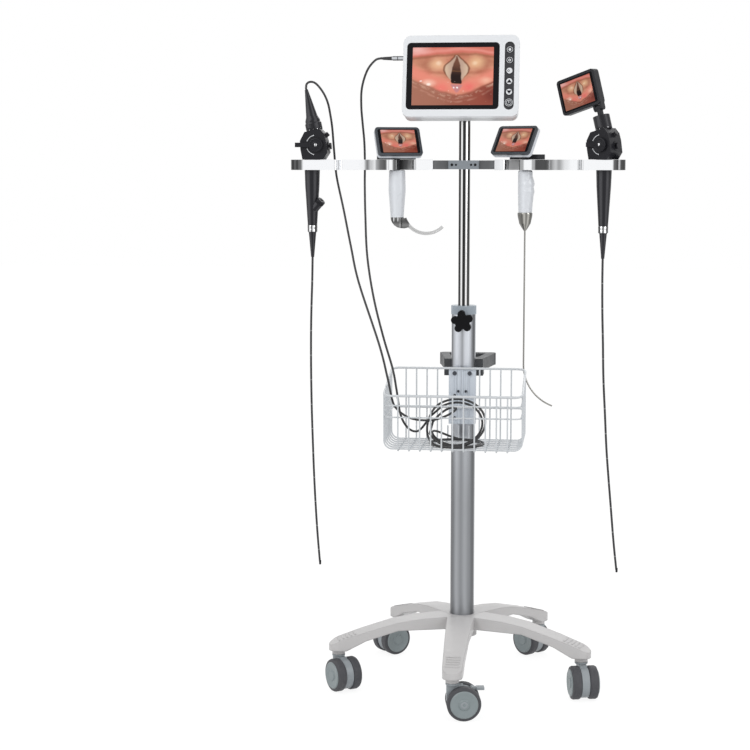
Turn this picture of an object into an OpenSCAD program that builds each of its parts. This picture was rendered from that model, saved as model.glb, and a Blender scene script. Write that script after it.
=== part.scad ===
// Video laryngoscope workstation: a five-legged trolley with a telescoping column, a monitor on top,
// and a hanger bar that holds a laryngoscope, a video stylet and two flexible scopes.
// Millimetres. The floor is z = 0, +X is to the right and -Y is toward the user.

/* [Base] */
// Distance from the column to each castor's stem
castor_reach = 256; // [235:1:280]
// Width of a leg where it leaves the hub
leg_root_w = 55; // [48:1:58]
// Width of a leg at its tip
leg_tip_w = 39; // [34:1:44]
// Depth of a leg beside the hub
leg_root_h = 26; // [22:1:32]
// Depth of a leg at its tip
leg_tip_h = 17; // [14:1:20]
// Height of the hub's top above the floor
hub_top = 142; // [136:1:150]
// Diameter of the hub
hub_d = 60; // [56:1:66]
// Depth of the hub
hub_h = 44; // [40:1:50]

/* [Castors] */
// Diameter of a castor wheel
wheel_d = 66; // [62:1:68]
// Width of one of the two wheels of a castor
wheel_w = 20; // [16:1:22]
// Diameter of the disc inside each tyre
disc_d = 54; // [48:1:56]
// Distance from the swivel stem to the wheel axle
castor_trail = 21; // [18:1:24]
// Thickness of the housing between the wheels
housing_w = 15.4; // [14:0.2:16]
// Diameter of the axle
axle_d = 8; // [7:0.5:9]
// Diameter of the swivel stem
stem_d = 11; // [10:0.5:11.5]

/* [Column] */
// Outer diameter of the fixed column
column_d = 48.5; // [46:0.5:50]
// Wall of the fixed column
column_wall = 2.75; // [2.5:0.25:3.5]
// Height of the fixed column's top above the floor
column_top = 754; // [730:1:780]
// Height of the collar on the column
collar_h = 17; // [14:1:20]
// Diameter of the telescoping pole
pole_d = 23; // [22:0.5:24]
// Wall of the telescoping pole
pole_wall = 2; // [1.5:0.25:3]
// Height of the pole's top above the floor
pole_top = 1198; // [1180:1:1210]
// How far the pole can be raised
pole_lift = 200; // [150:10:220]

/* [Hanger bar] */
// Height of the middle of the hanger bar above the floor
bar_z = 1050.5; // [1040:0.5:1056]
// Height of the hanger bar's strip
bar_h = 20.4; // [18:0.2:22]
// Thickness of the strip
strip_t = 2.5; // [2:0.25:3]
// Height of the clamp block and its arms
clamp_h = 17.4; // [15:0.2:18]
// Width of the clamp block
clamp_w = 60; // [56:1:64]
// Depth of the holders for the laryngoscope and the stylet
holder_depth = 36.4; // [36:0.2:40]
// Depth of the holders for the flexible scopes
loop_depth = 39.5; // [38:0.5:44]

/* [Monitor] */
// Width of the monitor
mon_w = 226; // [215:1:236]
// Height of the monitor
mon_h = 163; // [156:1:170]
// Depth of the front bezel
bezel_t = 12; // [10:1:14]
// Depth of the rear shell
shell_t = 25; // [22:1:28]
// Corner radius of the monitor
mon_r = 15; // [10:1:20]
// How far the monitor leans back, in degrees
mon_lean = 15; // [10:1:20]
// Width of the glass over the screen
glass_w = 180; // [172:1:184]
// Height of the glass over the screen
glass_h = 134; // [128:1:138]
// Diameter of the keys
key_d = 13; // [11:0.5:14]
// Diameter of the charging socket
socket_d = 5.6; // [5:0.1:6]

/* [Basket] */
// Width of the basket
basket_w = 266; // [250:1:280]
// Depth of the basket
basket_depth = 156; // [150:1:165]
// Diameter of the basket's wires
wire_d = 3; // [2.5:0.25:3.5]
// Diameter of the basket's rims
rim_d = 4.5; // [4:0.25:5]
// Distance between the wires
wire_pitch = 21; // [20:0.5:23]
// Height of the basket's floor above the ground
basket_floor = 507; // [500:1:515]
// Height of the basket's back
basket_back_h = 141; // [135:1:145]
// Height of the basket's front
basket_front_h = 104; // [98:1:110]

/* [Instrument screens] */
// Width of the laryngoscope's and the stylet's screens
small_screen_w = 92; // [88:1:94]
// Height of the laryngoscope's and the stylet's screens
small_screen_h = 65; // [60:1:70]
// Thickness of the laryngoscope's and the stylet's screens
small_screen_t = 12; // [10:1:13]
// How far the small screens lean back, in degrees
small_screen_lean = 31; // [28:1:38]
// Width of the right scope's screen
scope_screen_w = 94; // [86:1:96]
// Height of the right scope's screen
scope_screen_h = 71; // [66:1:73]
// Thickness of the right scope's screen
scope_screen_t = 16; // [14:1:18]

/* [Instruments] */
// Length of the laryngoscope's handle
lary_handle_l = 94; // [90:1:100]
// Largest diameter of the laryngoscope's handle
lary_handle_d = 34.5; // [33:0.5:35]
// Radius of the laryngoscope blade's curve
blade_r = 48; // [44:1:52]
// Width of the laryngoscope's blade
blade_w = 14; // [12:1:18]
// Length of the stylet's handle
stylet_handle_l = 84; // [80:1:90]
// Largest diameter of the stylet's handle
stylet_handle_d = 30; // [28:0.5:31]
// Diameter of the stylet's steel tube
stylet_d = 3.2; // [2.8:0.1:4]
// Length of the stylet's straight stretch
stylet_straight = 268; // [250:1:280]
// Radius of the stylet's bend
stylet_bend_r = 88; // [80:1:96]
// Diameter of a flexible scope's grip where it enters the holder
grip_d = 31; // [29:0.5:32]
// Length of a flexible scope's grip
grip_l = 130; // [124:1:136]
// Width of a flexible scope's control body
control_w = 56; // [52:1:58]
// Depth of a flexible scope's control body
control_t = 44; // [42:1:48]
// Diameter of a flexible scope's insertion tube
tube_d = 4.4; // [4:0.2:5]
// Diameter of the instrument channel in a flexible scope's port
channel_d = 4.2; // [3.8:0.1:4.6]

/* [Cable] */
// Diameter of the video cable
cable_d = 4.4; // [4:0.2:5]
// Mean radius of the cable's coil in the basket
coil_r = 57; // [54:1:60]

/* [Hidden] */
$fn = 48;

// Where the column stands, with the origin in the middle of the overall size
column_at = [14, 11, 0];
// Clearance round a shaft that turns or slides
run_gap = 0.05;
// Clearance between a piece and the seat that it rests on
seat_gap = 0.3;
// Overrun of a cut past the face that it opens
over = 1;

// Base
leg_count = 5;
leg_angles = [for (i = [0:leg_count - 1]) -90 + i * 360 / leg_count];
boss_gap = 4.5;
boss_h = 8;
boss_z = wheel_d + boss_gap;
leg_tip_z = boss_z + boss_h;
hub_floor_t = 14;
hub_low = hub_top - hub_h;
column_foot = hub_low + hub_floor_t;
leg_reach = castor_reach + leg_tip_w / 2;
stem_seat = 14;
boss_d = 26;
tread_h = 1.2;
tread_w = 3;
tread_pitch = 8;
tread_count = 5;

// Castors: the way each one has turned, from its stem toward its axle
castor_turns = [9, -77, 135, 220, -54];
stem_low = 46;
housing_side_w = 60;
housing_cap_d = 26;
housing_cap_h = 3.2;
cap_gap = 0.6;
wheel_gap = 0.5;
shoulder = 3;
disc_step = 2;
hub_boss_d = 18;
pedal_pin_d = 4;
pedal_w = 9;
pedal_pad_l = 15;
pedal_pad_h = 5;
pedal_slot_gap = 0.4;
pedal_arm_l = 8;
pedal_knuckle_d = 8;
pedal_out = 17;
pedal_up = 26;

// Column
column_bore = column_d - 2 * column_wall;
collar_d = 50.5;
collar_spigot_h = 5;
plug_h = 40;
plug_margin = 18;
knob_drop = 12;
knob_z = column_top - knob_drop;
knob_stud_d = 8;
knob_t = 14;
knob_lobe_d = 15;
knob_lobes = 5;
knob_d = 45;
knob_hub_d = 18;
knob_hub_h = 9;
pole_low = knob_z - knob_stud_d / 2 - pole_lift - plug_h - plug_margin;

// Push handle
handle_w = 116;
handle_h = 24;
handle_drop = 104;
handle_z = column_top - handle_drop;
handle_back = 132;
handle_t = 24;
handle_block_w = 78;
handle_block_h = 34;
handle_block_drop = 9;
handle_arm_t = 17;
handle_front = 4;

// Hanger bar: stretches of strip from the clamp outward
arm_t = 5;
arm_y = -12;
clamp_depth = 34;
clamp_x = -1;
arm_ends = [62, 60];
arm_lap = 14;
clamp_big_hole_d = 5.6;
clamp_small_hole_d = 4.4;
clamp_big_hole_x = 23;
clamp_small_hole_x = 15;
clamp_hole_depth = 6;
nose_r = 6;
holder_w = [70, 66];
holder_corner_r = 28;
lip_r = 3.6;
lip_corner_r = 5;
lip_l = 28.5;
pass_run = [35, 37];
first_run = [33, 15];
sweep_r = 40;
sweep_turn = 25;
loop_bend_r = 6;
loop_bend_turn = 80;
loop_step = 16.5;
loop_run = [66.5, 58];
loop_back_run = 50;
hook_r = 9;
hook_turn = 60;
straight_run = [37, 37];

// Instrument places on the bar, measured from the column
lary_at = [-136, 13.4];
stylet_at = [120, 11];
scope_at = [[-304, -11], [274.5, -11]];
small_screen_turn = [21, -32];

// Monitor
mon_x = -4;
tilt_z = 1216;
tilt_y = -8;
tilt_back = 20;
mon_drop = 9;
glass_x = -15.6;
glass_t = 3;
panel_t = 7;
panel_border = 8;
glass_r = 8;
strip_x = 94;
key_strip_w = 19;
key_strip_h = 136;
key_strip_depth = 3;
key_count = 6;
key_pitch = 21.2;
power_key_d = 16;
key_t = 4;
key_proud = 0.5;
key_clearance = 0.3;
shell_wall = 2.5;
shell_inset = 2;
yoke_d = 34;
yoke_skirt = 34;
yoke_cap_h = 5;
yoke_ear_w = 22;
hinge_pin_d = 6;
hinge_d = 14;
lug_w = 9;
lug_gap = 0.4;
plug_z = 33;
plug_y = 18;
barrel_d = 9;
barrel_l = 24;
relief_l = 20;
socket_x = -60;
socket_z = -45;
socket_depth = 10;

// Basket and its bracket
basket_x = -7;
weld_share = 0.85;
hoop_shares = [0.6, 0.82];
basket_back_y = -36;
basket_corner_r = 16;
bracket_w = 53.5;
bracket_h = 112;
bracket_z = 536;
bracket_t = 5.5;
bracket_rib_w = 3;
bracket_rib_h = 1.5;
big_screw_d = 8.5;
small_screw_d = 5;
screw_head_h = 1.5;
screw_shank_l = 4;
big_screws = [[-15, 638], [15, 638]];
small_screws = [[-7.5, 602], [7.5, 602], [-14.5, 594], [-14.5, 549]];

// Small screens and their necks
block_w = 80;
block_t = 20;
block_h = 10;
block_y = 6;
spindle_d = 12;
spindle_l = 50;
handle_top_drop = 0.4;
screen_hinge_d = 6;
screen_pin_d = 3;
screen_hinge_w = 24;
screen_low_y = -20;
screen_low_z = [2.6, 4.6];
screen_shift = [0, -19];
screen_frame = 5;
screen_glass_t = 2;
screen_corner_r = 7;

// Flexible scopes
control_h = 60;
scope_turn = [0, -32];
port_turn = [-25, 122];
scope_lean = [11.5, 15.5];
ring_h = 14;
grip_rise = 8;
ring_d = 19;
boot_l = 50;
lever_hub_d = 28;
lever_hub_t = 5;
lever_paddle_l = [32, 21];
lever_paddle_w = 9;
lever_y = 0.4;
lever_rod_d = 9;
valve_d = 13;
valve_l = 3.2;
valve_stem_d = 6;
valve_stem_l = 10;
valve_stroke = 2;
valve_tilt = 84;
valve_boss_d = 19;
valve_boss_rise = 1.5;
cap_d = 9;
cap_l = 9;
cap_tilt = 50;
nut_d = 33;
nut_h = 28;
nut_flutes = 10;
flute_d = 3;
boot_root_d = 23;
boot_tip_d = 6.2;
port_d = 18;
port_l = 29;
port_z = 42;
port_tilt = 45;
channel_l = 14;
connector_boot_l = 54;
neck_d = 12;
neck_l = 9;

steel = [0.78, 0.79, 0.8];
dark_plastic = [0.12, 0.12, 0.13];
white_plastic = [0.88, 0.89, 0.91];
grey_plastic = [0.6, 0.63, 0.64];
warm_grey = [0.85, 0.85, 0.84];

// Where the cable's stretches meet the coil, and the way that the cable heads there
coil_in = [-60, -130, 556];
coil_in_way = [1, 0, 0];
coil_out = [-60, -100, 556];
coil_out_way = [-5, -3, -8];

// Routes of the cable, in the column's frame
scope_cable_route = [[-315, -11, 1209], [-309, -10, 1214], [-300, -7, 1213], [-291, -4, 1205],
  [-281, 0, 1190], [-274, 4, 1172], [-270, 8, 1150], [-267, 13, 1125], [-265, 19, 1090], [-262, 21, 1050],
  [-258, 20, 1020],
  [-243, 6, 960], [-224, -30, 890], [-203, -70, 820], [-154, -140, 704], [-136, -150, 638],
  [-127, -145, 594], [-118, -138, 577], [-100, -134, 563], [-80, -131, 557]];
monitor_cable_route = [[-163, -36, 1258], [-175, -34, 1254], [-192, -22, 1235], [-205, -2, 1202],
  [-208, 12, 1166], [-206, 19, 1130], [-203, 21, 1094], [-202, 21, 1050], [-202, 19, 1010], [-199, 4, 950],
  [-190, -38, 870], [-172, -80, 790], [-150, -104, 715], [-131, -112, 655], [-123, -114, 614],
  [-115, -115, 565], [-102, -114, 540], [-87, -111, 531], [-75, -107, 536]];

// Small helpers

module round_plate(w, h, r, t) {
  linear_extrude(t) round_outline(w, h, r);
}

module round_outline(w, h, r) {
  square([w - 2 * r, h], center = true);
  square([w, h - 2 * r], center = true);
  for (x = [-1, 1], y = [-1, 1])
    translate([x * (w / 2 - r), y * (h / 2 - r)]) circle(r);
}

// A cylinder along Y with its middle at the origin
module cross_rod(d, l) {
  rotate([90, 0, 0]) cylinder(d = d, h = l, center = true);
}

// A cylinder along X with its middle at the origin
module side_rod(d, l) {
  rotate([0, 90, 0]) cylinder(d = d, h = l, center = true);
}

// A cylinder from one point to another
module rod(from, to, d) {
  run = to - from;
  flat_run = norm([run.x, run.y]);
  translate(from) rotate([0, atan2(flat_run, run.z), atan2(run.y, run.x)]) cylinder(d = d, h = norm(run));
}

// Curves through hand-chosen points, and the tube swept along them

function curve_point(p, i, t) =
  let (a = p[max(i - 1, 0)], b = p[i], c = p[i + 1], d = p[min(i + 2, len(p) - 1)])
  (2 * b + (c - a) * t + (2 * a - 5 * b + 4 * c - d) * pow(t, 2) + (3 * b - a - 3 * c + d) * pow(t, 3)) / 2;

function curve(p, steps) = concat([for (i = [0:len(p) - 2], s = [0:steps - 1]) curve_point(p, i, s / steps)],
  [p[len(p) - 1]]);

function unit(v) = v / norm(v);

function heading(p, i) = unit(p[min(i + 1, len(p) - 1)] - p[max(i - 1, 0)]);

function ring_point(centre, ahead, side_hint, r, angle) =
  let (u = unit(cross(side_hint, ahead)), v = cross(ahead, u))
  centre + r * (cos(angle) * u + sin(angle) * v);

// The tube's two ends are square to the end headings
module swept_tube(points, d, sides, side_hint, ends) {
  n = len(points);
  rings = [for (i = [0:n - 1], k = [0:sides - 1])
    ring_point(points[i], i == 0 ? ends[0] : i == n - 1 ? ends[1] : heading(points, i), side_hint, d / 2,
      360 * k / sides)];
  walls = [for (i = [0:n - 2], k = [0:sides - 1], half = [0, 1])
    let (a = i * sides + k, b = i * sides + (k + 1) % sides)
    half == 0 ? [a, b, a + sides] : [b, b + sides, a + sides]];
  first_cap = [for (k = [1:sides - 2]) [0, k + 1, k]];
  last_cap = [for (k = [1:sides - 2]) [0, k, k + 1] + (n - 1) * sides * [1, 1, 1]];
  polyhedron(points = rings, faces = concat(walls, first_cap, last_cap));
}

// Base

module leg_side() {
  top_share = [0.01, 0.08, 0.2, 0.56, 0.88, 1.12];
  reach_shares = [0.34, 0.5, 0.74, 0.92, 1];
  r = concat([hub_d / 2], leg_reach * reach_shares);
  drop = hub_top - leg_tip_z - leg_tip_h;
  root_low = hub_top - leg_root_h;
  polygon(concat([[0, hub_top]], [for (i = [0:5]) [r[i], hub_top - drop * top_share[i]]],
    [[leg_reach, leg_tip_z], [castor_reach - boss_d / 2, leg_tip_z], [r[3], (leg_tip_z + root_low) / 2],
    [r[2], root_low], [0, root_low]]));
}

module leg_plan() {
  polygon([[0, -leg_root_w / 2], [hub_d / 2, -leg_root_w / 2], [castor_reach, -leg_tip_w / 2],
    [castor_reach, leg_tip_w / 2], [hub_d / 2, leg_root_w / 2], [0, leg_root_w / 2]]);
  translate([castor_reach, 0]) circle(d = leg_tip_w);
}

module leg_block(lift) {
  intersection() {
    translate([0, 0, lift]) rotate([90, 0, 0]) linear_extrude(2 * leg_root_w, center = true) leg_side();
    linear_extrude(2 * hub_top) leg_plan();
  }
}

module leg() {
  leg_block(0);
  translate([castor_reach, 0, boss_z]) cylinder(d = boss_d, h = boss_h + leg_tip_h / 2);
  intersection() {
    leg_block(tread_h);
    for (i = [0:tread_count - 1])
      translate([castor_reach - i * tread_pitch, 0, hub_top / 2])
        cube([tread_w, leg_tip_w - 4 * tread_w, hub_top], center = true);
  }
}

module star_base() color(warm_grey) difference() {
  union() {
    translate([0, 0, hub_low]) cylinder(d = hub_d, h = hub_h);
    for (a = leg_angles) rotate(a) leg();
  }
  translate([0, 0, column_foot]) cylinder(d = column_d, h = hub_h);
  for (a = leg_angles) rotate(a) translate([castor_reach, 0, boss_z - over]) cylinder(d = stem_d, h = stem_seat + over);
}

module castor_stems() color(steel)
  for (a = leg_angles) rotate(a) translate([castor_reach, 0, stem_low])
    cylinder(d = stem_d, h = boss_z + stem_seat - stem_low);

module in_castor(i) {
  rotate(leg_angles[i]) translate([castor_reach, 0, 0]) rotate(castor_turns[i] - leg_angles[i]) children();
}

pedal_x = castor_trail + pedal_out;
pedal_z = wheel_d / 2 + pedal_up;

module castor_housing(i) color(grey_plastic) in_castor(i) difference() {
  union() {
    rotate([90, 0, 0]) linear_extrude(housing_w, center = true) {
      translate([castor_trail, wheel_d / 2]) circle(d = housing_side_w);
      translate([-stem_d, wheel_d / 2]) square([castor_trail + stem_d, wheel_d / 2]);
      if (i == 0) translate([pedal_x, pedal_z]) circle(d = pedal_knuckle_d);
    }
    translate([0, 0, wheel_d + cap_gap]) cylinder(d = housing_cap_d, h = housing_cap_h);
    translate([0, 0, wheel_d - over]) cylinder(d = housing_w, h = 2 * over);
  }
  translate([0, 0, stem_low - seat_gap]) cylinder(d = stem_d + 2 * run_gap, h = wheel_d);
  translate([castor_trail, 0, wheel_d / 2]) cross_rod(axle_d + 2 * run_gap, 2 * housing_w);
  if (i == 0) {
    translate([pedal_x, 0, pedal_z]) difference() {
      cube([2 * pedal_knuckle_d, pedal_w + 2 * pedal_slot_gap, 2 * pedal_knuckle_d], center = true);
      cross_rod(pedal_pin_d, pedal_w + 2 * pedal_slot_gap + over);
    }
  }
}

module wheel() {
  r = wheel_d / 2;
  disc_r = disc_d / 2;
  rotate_extrude() polygon([[0, 0], [r - shoulder, 0], [r - shoulder / 3, shoulder / 3], [r, shoulder],
    [r, wheel_w - 2 * shoulder], [r - shoulder / 2, wheel_w - shoulder], [disc_r, wheel_w - disc_step],
    [disc_r - disc_step, wheel_w], [hub_boss_d / 2 + disc_step, wheel_w - disc_step],
    [hub_boss_d / 2, wheel_w], [0, wheel_w]]);
}

module castor_wheels(i) color(dark_plastic) in_castor(i) translate([castor_trail, 0, wheel_d / 2]) {
  inner = housing_w / 2 + wheel_gap;
  cross_rod(axle_d, 2 * inner + wheel_w);
  translate([0, -inner, 0]) rotate([90, 0, 0]) wheel();
  translate([0, inner, 0]) rotate([-90, 0, 0]) wheel();
}

module brake_pedal() color(grey_plastic) in_castor(0) translate([pedal_x, 0, pedal_z]) difference() {
  union() {
    cross_rod(pedal_knuckle_d, pedal_w);
    translate([0, -pedal_w / 2, -pedal_pad_h / 2]) cube([pedal_arm_l, pedal_w, pedal_pad_h]);
    translate([pedal_arm_l, -housing_w / 2, -pedal_pad_h / 2]) cube([pedal_pad_l, housing_w, pedal_pad_h]);
  }
  cross_rod(pedal_pin_d + 2 * run_gap, 2 * pedal_w);
}

// Column

module outer_column() color(steel) difference() {
  translate([0, 0, column_foot]) cylinder(d = column_d, h = column_top - column_foot);
  translate([0, 0, column_foot - over]) cylinder(d = column_bore, h = column_top);
  translate([0, -column_d / 2, knob_z]) cross_rod(knob_stud_d + 2 * run_gap, column_d / 2);
}

module column_collar() color(grey_plastic) difference() {
  union() {
    translate([0, 0, column_top]) cylinder(d = collar_d, h = collar_h);
    translate([0, 0, column_top - collar_spigot_h]) cylinder(d = column_bore, h = collar_spigot_h + over);
  }
  translate([0, 0, column_top / 2]) cylinder(d = pole_d + 2 * run_gap, h = column_top);
}

module lock_knob() color(dark_plastic) translate([0, 0, knob_z]) {
  face = column_d / 2 + seat_gap;
  tip = pole_d / 2 + seat_gap;
  lobe_at = (knob_d - knob_lobe_d) / 2;
  translate([0, -tip, 0]) rotate([90, 0, 0]) cylinder(d = knob_stud_d, h = face + knob_hub_h - tip);
  translate([0, -face, 0]) rotate([90, 0, 0]) cylinder(d = knob_hub_d, h = knob_hub_h);
  translate([0, -face - knob_hub_h, 0]) rotate([90, 0, 0]) linear_extrude(knob_t) {
    circle(r = lobe_at);
    for (i = [0:knob_lobes - 1])
      rotate(360 / knob_lobes * (i + 1) + 24) translate([lobe_at, 0]) circle(d = knob_lobe_d);
  }
}

module inner_pole() color(steel) {
  difference() {
    union() {
      translate([0, 0, pole_low]) cylinder(d = pole_d, h = pole_top - pole_low);
      translate([0, 0, pole_low]) cylinder(d = column_bore - 2 * run_gap, h = plug_h);
    }
    translate([0, 0, pole_low - over]) cylinder(d = pole_d - 2 * pole_wall, h = pole_top);
  }
}

module push_handle() color(grey_plastic) difference() {
  union() {
    translate([-handle_block_w / 2, handle_front, handle_z - handle_h / 2 - handle_block_drop])
      cube([handle_block_w, column_d / 2 + handle_arm_t - handle_front, handle_block_h]);
    translate([0, handle_back, handle_z - handle_h / 2]) round_plate_xy(handle_w, handle_t, handle_t / 2, handle_h);
    for (s = [-1, 1]) linear_extrude_at(handle_z - handle_h / 2, handle_h)
      polygon([[s * handle_block_w / 2, column_d / 2], [s * (handle_block_w / 2 - handle_arm_t), column_d / 2],
        [s * (handle_w / 2 - handle_arm_t - over), handle_back], [s * (handle_w / 2 - over), handle_back]]);
  }
  cylinder(d = column_d, h = column_top);
}

module round_plate_xy(w, d, r, h) {
  round_plate(w, d, r - over / 10, h);
}

module linear_extrude_at(z, h) {
  translate([0, 0, z]) linear_extrude(h) children();
}

// Basket: cross wires under U-shaped side wires, two hoops inside them and a rim that slopes to the front

half_basket = basket_w / 2;
basket_front_y = basket_back_y - basket_depth;
side_count = floor(basket_depth / wire_pitch);
across_count = floor((half_basket - basket_corner_r) / wire_pitch);
back_z = basket_floor + basket_back_h;
front_z = basket_floor + basket_front_h;
weld = weld_share * wire_d;
hoop_zs = [for (share = hoop_shares) basket_floor + basket_front_h * share];

function rim_z(y) = front_z + (back_z - front_z) * (y - basket_front_y) / basket_depth;

// A wire bent to a flat ring with four round corners, with its first corner at the origin's side
module wire_ring(w, l, r, d) {
  for (s = [-1, 1]) {
    translate([0, s * l / 2, 0]) side_rod(d, w - 2 * r);
    translate([s * w / 2, 0, 0]) cross_rod(d, l - 2 * r);
  }
  for (k = [0:3]) let (sx = k == 0 || k == 3 ? 1 : -1, sy = k < 2 ? 1 : -1)
    translate([sx * (w / 2 - r), sy * (l / 2 - r), 0]) rotate_extrude(angle = 90, start = 90 * k)
      translate([r, 0]) circle(d = d);
}

// A wire bent to a U that opens upward, drawn in the XZ plane; heights of the two ends are from the floor
module wire_u(w, ends, r, d) {
  side_rod(d, w - 2 * r);
  for (k = [0, 1]) {
    side = 2 * k - 1;
    translate([side * (w / 2 - r), 0, r]) rotate([90, 0, 0]) rotate_extrude(angle = 90, start = 180 + 90 * k)
      translate([r, 0]) circle(d = d);
    translate([side * w / 2, 0, r]) cylinder(d = d, h = ends[k] - r);
  }
}

module basket() color(white_plastic) translate([basket_x, 0, 0]) {
  mid_y = (basket_front_y + basket_back_y) / 2;
  rise = back_z - front_z;
  union() {
    for (i = [0:side_count - 1]) let (y = basket_front_y + basket_depth * (i + 0.5) / side_count)
      translate([0, y, basket_floor]) wire_u(basket_w, [1, 1] * (rim_z(y) - basket_floor), basket_corner_r, wire_d);
    for (z = hoop_zs) translate([0, mid_y, z])
      wire_ring(basket_w - 2 * weld, basket_depth - 2 * weld, basket_corner_r - weld, wire_d);
    translate([0, mid_y, (back_z + front_z) / 2]) rotate([atan2(rise, basket_depth), 0, 0])
      wire_ring(basket_w, norm([rise, basket_depth]), basket_corner_r, rim_d);
  }
  for (i = [-across_count:across_count]) translate([i * wire_pitch, mid_y, basket_floor - weld])
    if (abs(i * wire_pitch + basket_x) > bracket_w / 2 + wire_d)
      rotate(90) wire_u(basket_depth, [basket_front_h, basket_back_h] + [weld, weld], 2 * wire_d, wire_d);
    else rotate(90) wire_u(basket_depth, [basket_front_h, bracket_z - basket_floor - wire_d] + [weld, weld], 2 * wire_d, wire_d);
}

module basket_bracket() color(grey_plastic) difference() {
  union() {
    back = -column_d / 2;
    front = basket_back_y + rim_d / 2;
    translate([-bracket_w / 2, front, bracket_z]) cube([bracket_w, bracket_t, bracket_h]);
    for (s = [-1, 1])
      translate([s * (bracket_w / 2 - bracket_t / 2) - bracket_t / 2, front, bracket_z])
        cube([bracket_t, -front - column_d / 4, bracket_h]);
    for (x = [-bracket_w / 4, 0, bracket_w / 4])
      translate([x - bracket_rib_w / 2, front - bracket_rib_h, bracket_z])
        cube([bracket_rib_w, bracket_rib_h + over, bracket_h]);
  }
  cylinder(d = column_d, h = column_top);
  screw_places() cross_rod(screw_shank_d(), 4 * screw_shank_l);
}

function screw_shank_d() = small_screw_d / 2;

module screw_places() {
  front = basket_back_y + rim_d / 2;
  for (p = concat(big_screws, small_screws)) translate([p.x, front, p.y]) children();
}

module bracket_screws() color(steel) {
  front = basket_back_y + rim_d / 2;
  for (p = big_screws) translate([p.x, front, p.y]) screw(big_screw_d);
  for (p = small_screws) translate([p.x, front, p.y]) screw(small_screw_d);
}

// A screw whose head stands on the bracket's face
module screw(head_d) {
  rotate([90, 0, 0]) cylinder(d = head_d, h = bracket_rib_h + screw_head_h);
  rotate([-90, 0, 0]) cylinder(d = screw_shank_d(), h = screw_shank_l);
}

// Hanger bar: the strip's centre line is a run of straight stretches and bends

bar_low = bar_z - bar_h / 2;
bar_top = bar_z + bar_h / 2;

// A straight stretch is [length] and a bend is [radius, turn], with a positive turn to the left.
// A station on the strip's middle line is [x, y, heading], and a bend has one every few degrees.
strip_turn_step = 7.5;

function stations(moves, at = [0, 0, 0], i = 0) = i == len(moves) ? [at] :
  let (m = moves[i], ahead = [cos(at.z), sin(at.z)])
  len(m) == 1 ? concat([at], stations(moves, [at.x + m[0] * ahead.x, at.y + m[0] * ahead.y, at.z], i + 1)) :
  let (arm = sign(m[1]) * m[0], n = ceil(abs(m[1]) / strip_turn_step))
  let (bend = [for (k = [0:n]) let (h = at.z + m[1] * k / n)
    [at.x + arm * (sin(h) - ahead.y), at.y + arm * (ahead.x - cos(h)), h]])
  concat([for (k = [0:n - 1]) bend[k]], stations(moves, bend[n], i + 1));

function beside(s, gap) = [s.x - gap * sin(s.z), s.y + gap * cos(s.z)];

module strip_run(moves) {
  line = stations(moves);
  last = len(line) - 1;
  linear_extrude(bar_h) polygon(concat([for (s = line) beside(s, -strip_t / 2)],
    [for (k = [0:last]) beside(line[last - k], strip_t / 2)]));
}

// From the front run to the holder's back: the inner depth, the hairpin's width and the strip itself
holder_span = holder_depth + 2 * lip_r + strip_t;

function bar_moves(s) = [[first_run[s]], [nose_r, 90], [holder_span - nose_r - holder_corner_r],
  [holder_corner_r, -90], [holder_w[s] - 2 * holder_corner_r], [holder_corner_r, -90],
  [holder_span - holder_corner_r - lip_corner_r - 2 * lip_r], [lip_corner_r, -90], [lip_l], [lip_r, 180],
  [pass_run[s]], [sweep_r, sweep_turn], [sweep_r, -sweep_turn], [straight_run[s]],
  [loop_bend_r, -loop_bend_turn], [loop_step], [loop_bend_r, loop_bend_turn], [loop_run[s]],
  [(loop_depth + strip_t) / 2, 180], [loop_back_run], [hook_r, hook_turn]];

module strip(s) {
  translate([arm_ends[s], arm_y - strip_t / 2, bar_low]) strip_run(bar_moves(s));
}

module bar_left() color(steel) mirror([1, 0, 0]) strip(0);
module bar_right() color(steel) strip(1);

module bar_clamp() color(grey_plastic) difference() {
  union() {
    translate([clamp_x - clamp_w / 2, -clamp_depth / 2, bar_z - clamp_h / 2]) cube([clamp_w, clamp_depth, clamp_h]);
    translate([-arm_ends[0] - arm_lap, arm_y, bar_z - clamp_h / 2])
      cube([arm_ends[0] + arm_ends[1] + 2 * arm_lap, arm_t, clamp_h]);
  }
  cylinder(d = pole_d, h = pole_top);
  for (s = [-1, 1]) {
    translate([clamp_x + s * clamp_big_hole_x, -clamp_depth / 2, bar_z]) cross_rod(clamp_big_hole_d, 2 * clamp_hole_depth);
    translate([clamp_x + s * clamp_small_hole_x, -clamp_depth / 2, bar_z])
      cross_rod(clamp_small_hole_d, 2 * clamp_hole_depth);
  }
}

// Monitor, drawn in its own frame: the hinge is the origin and the face looks along -Y

module at_monitor() {
  translate([mon_x, tilt_y, tilt_z]) rotate([-mon_lean, 0, 0]) children();
}

back_y = -tilt_back;
face_y = back_y - shell_t - bezel_t;

// Turns a drawing in the XY plane to stand on the monitor's face, with its height toward -Y
module upright(y) {
  translate([0, y, -mon_drop]) rotate([90, 0, 0]) children();
}

module monitor_front() color(white_plastic) at_monitor() difference() {
  upright(face_y + bezel_t) round_plate(mon_w, mon_h, mon_r, bezel_t);
  upright(face_y + bezel_t + over) translate([glass_x, 0, 0])
    round_plate(glass_w, glass_h, glass_r, bezel_t + 2 * over);
  upright(face_y + key_strip_depth) translate([strip_x, 0, 0])
    round_plate(key_strip_w, key_strip_h, key_strip_w / 2 - over / 10, key_strip_depth + over);
  for (i = [0:5]) at_key(i) cross_rod(key_width(i) + 2 * key_clearance, 4 * bezel_t);
}

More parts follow.
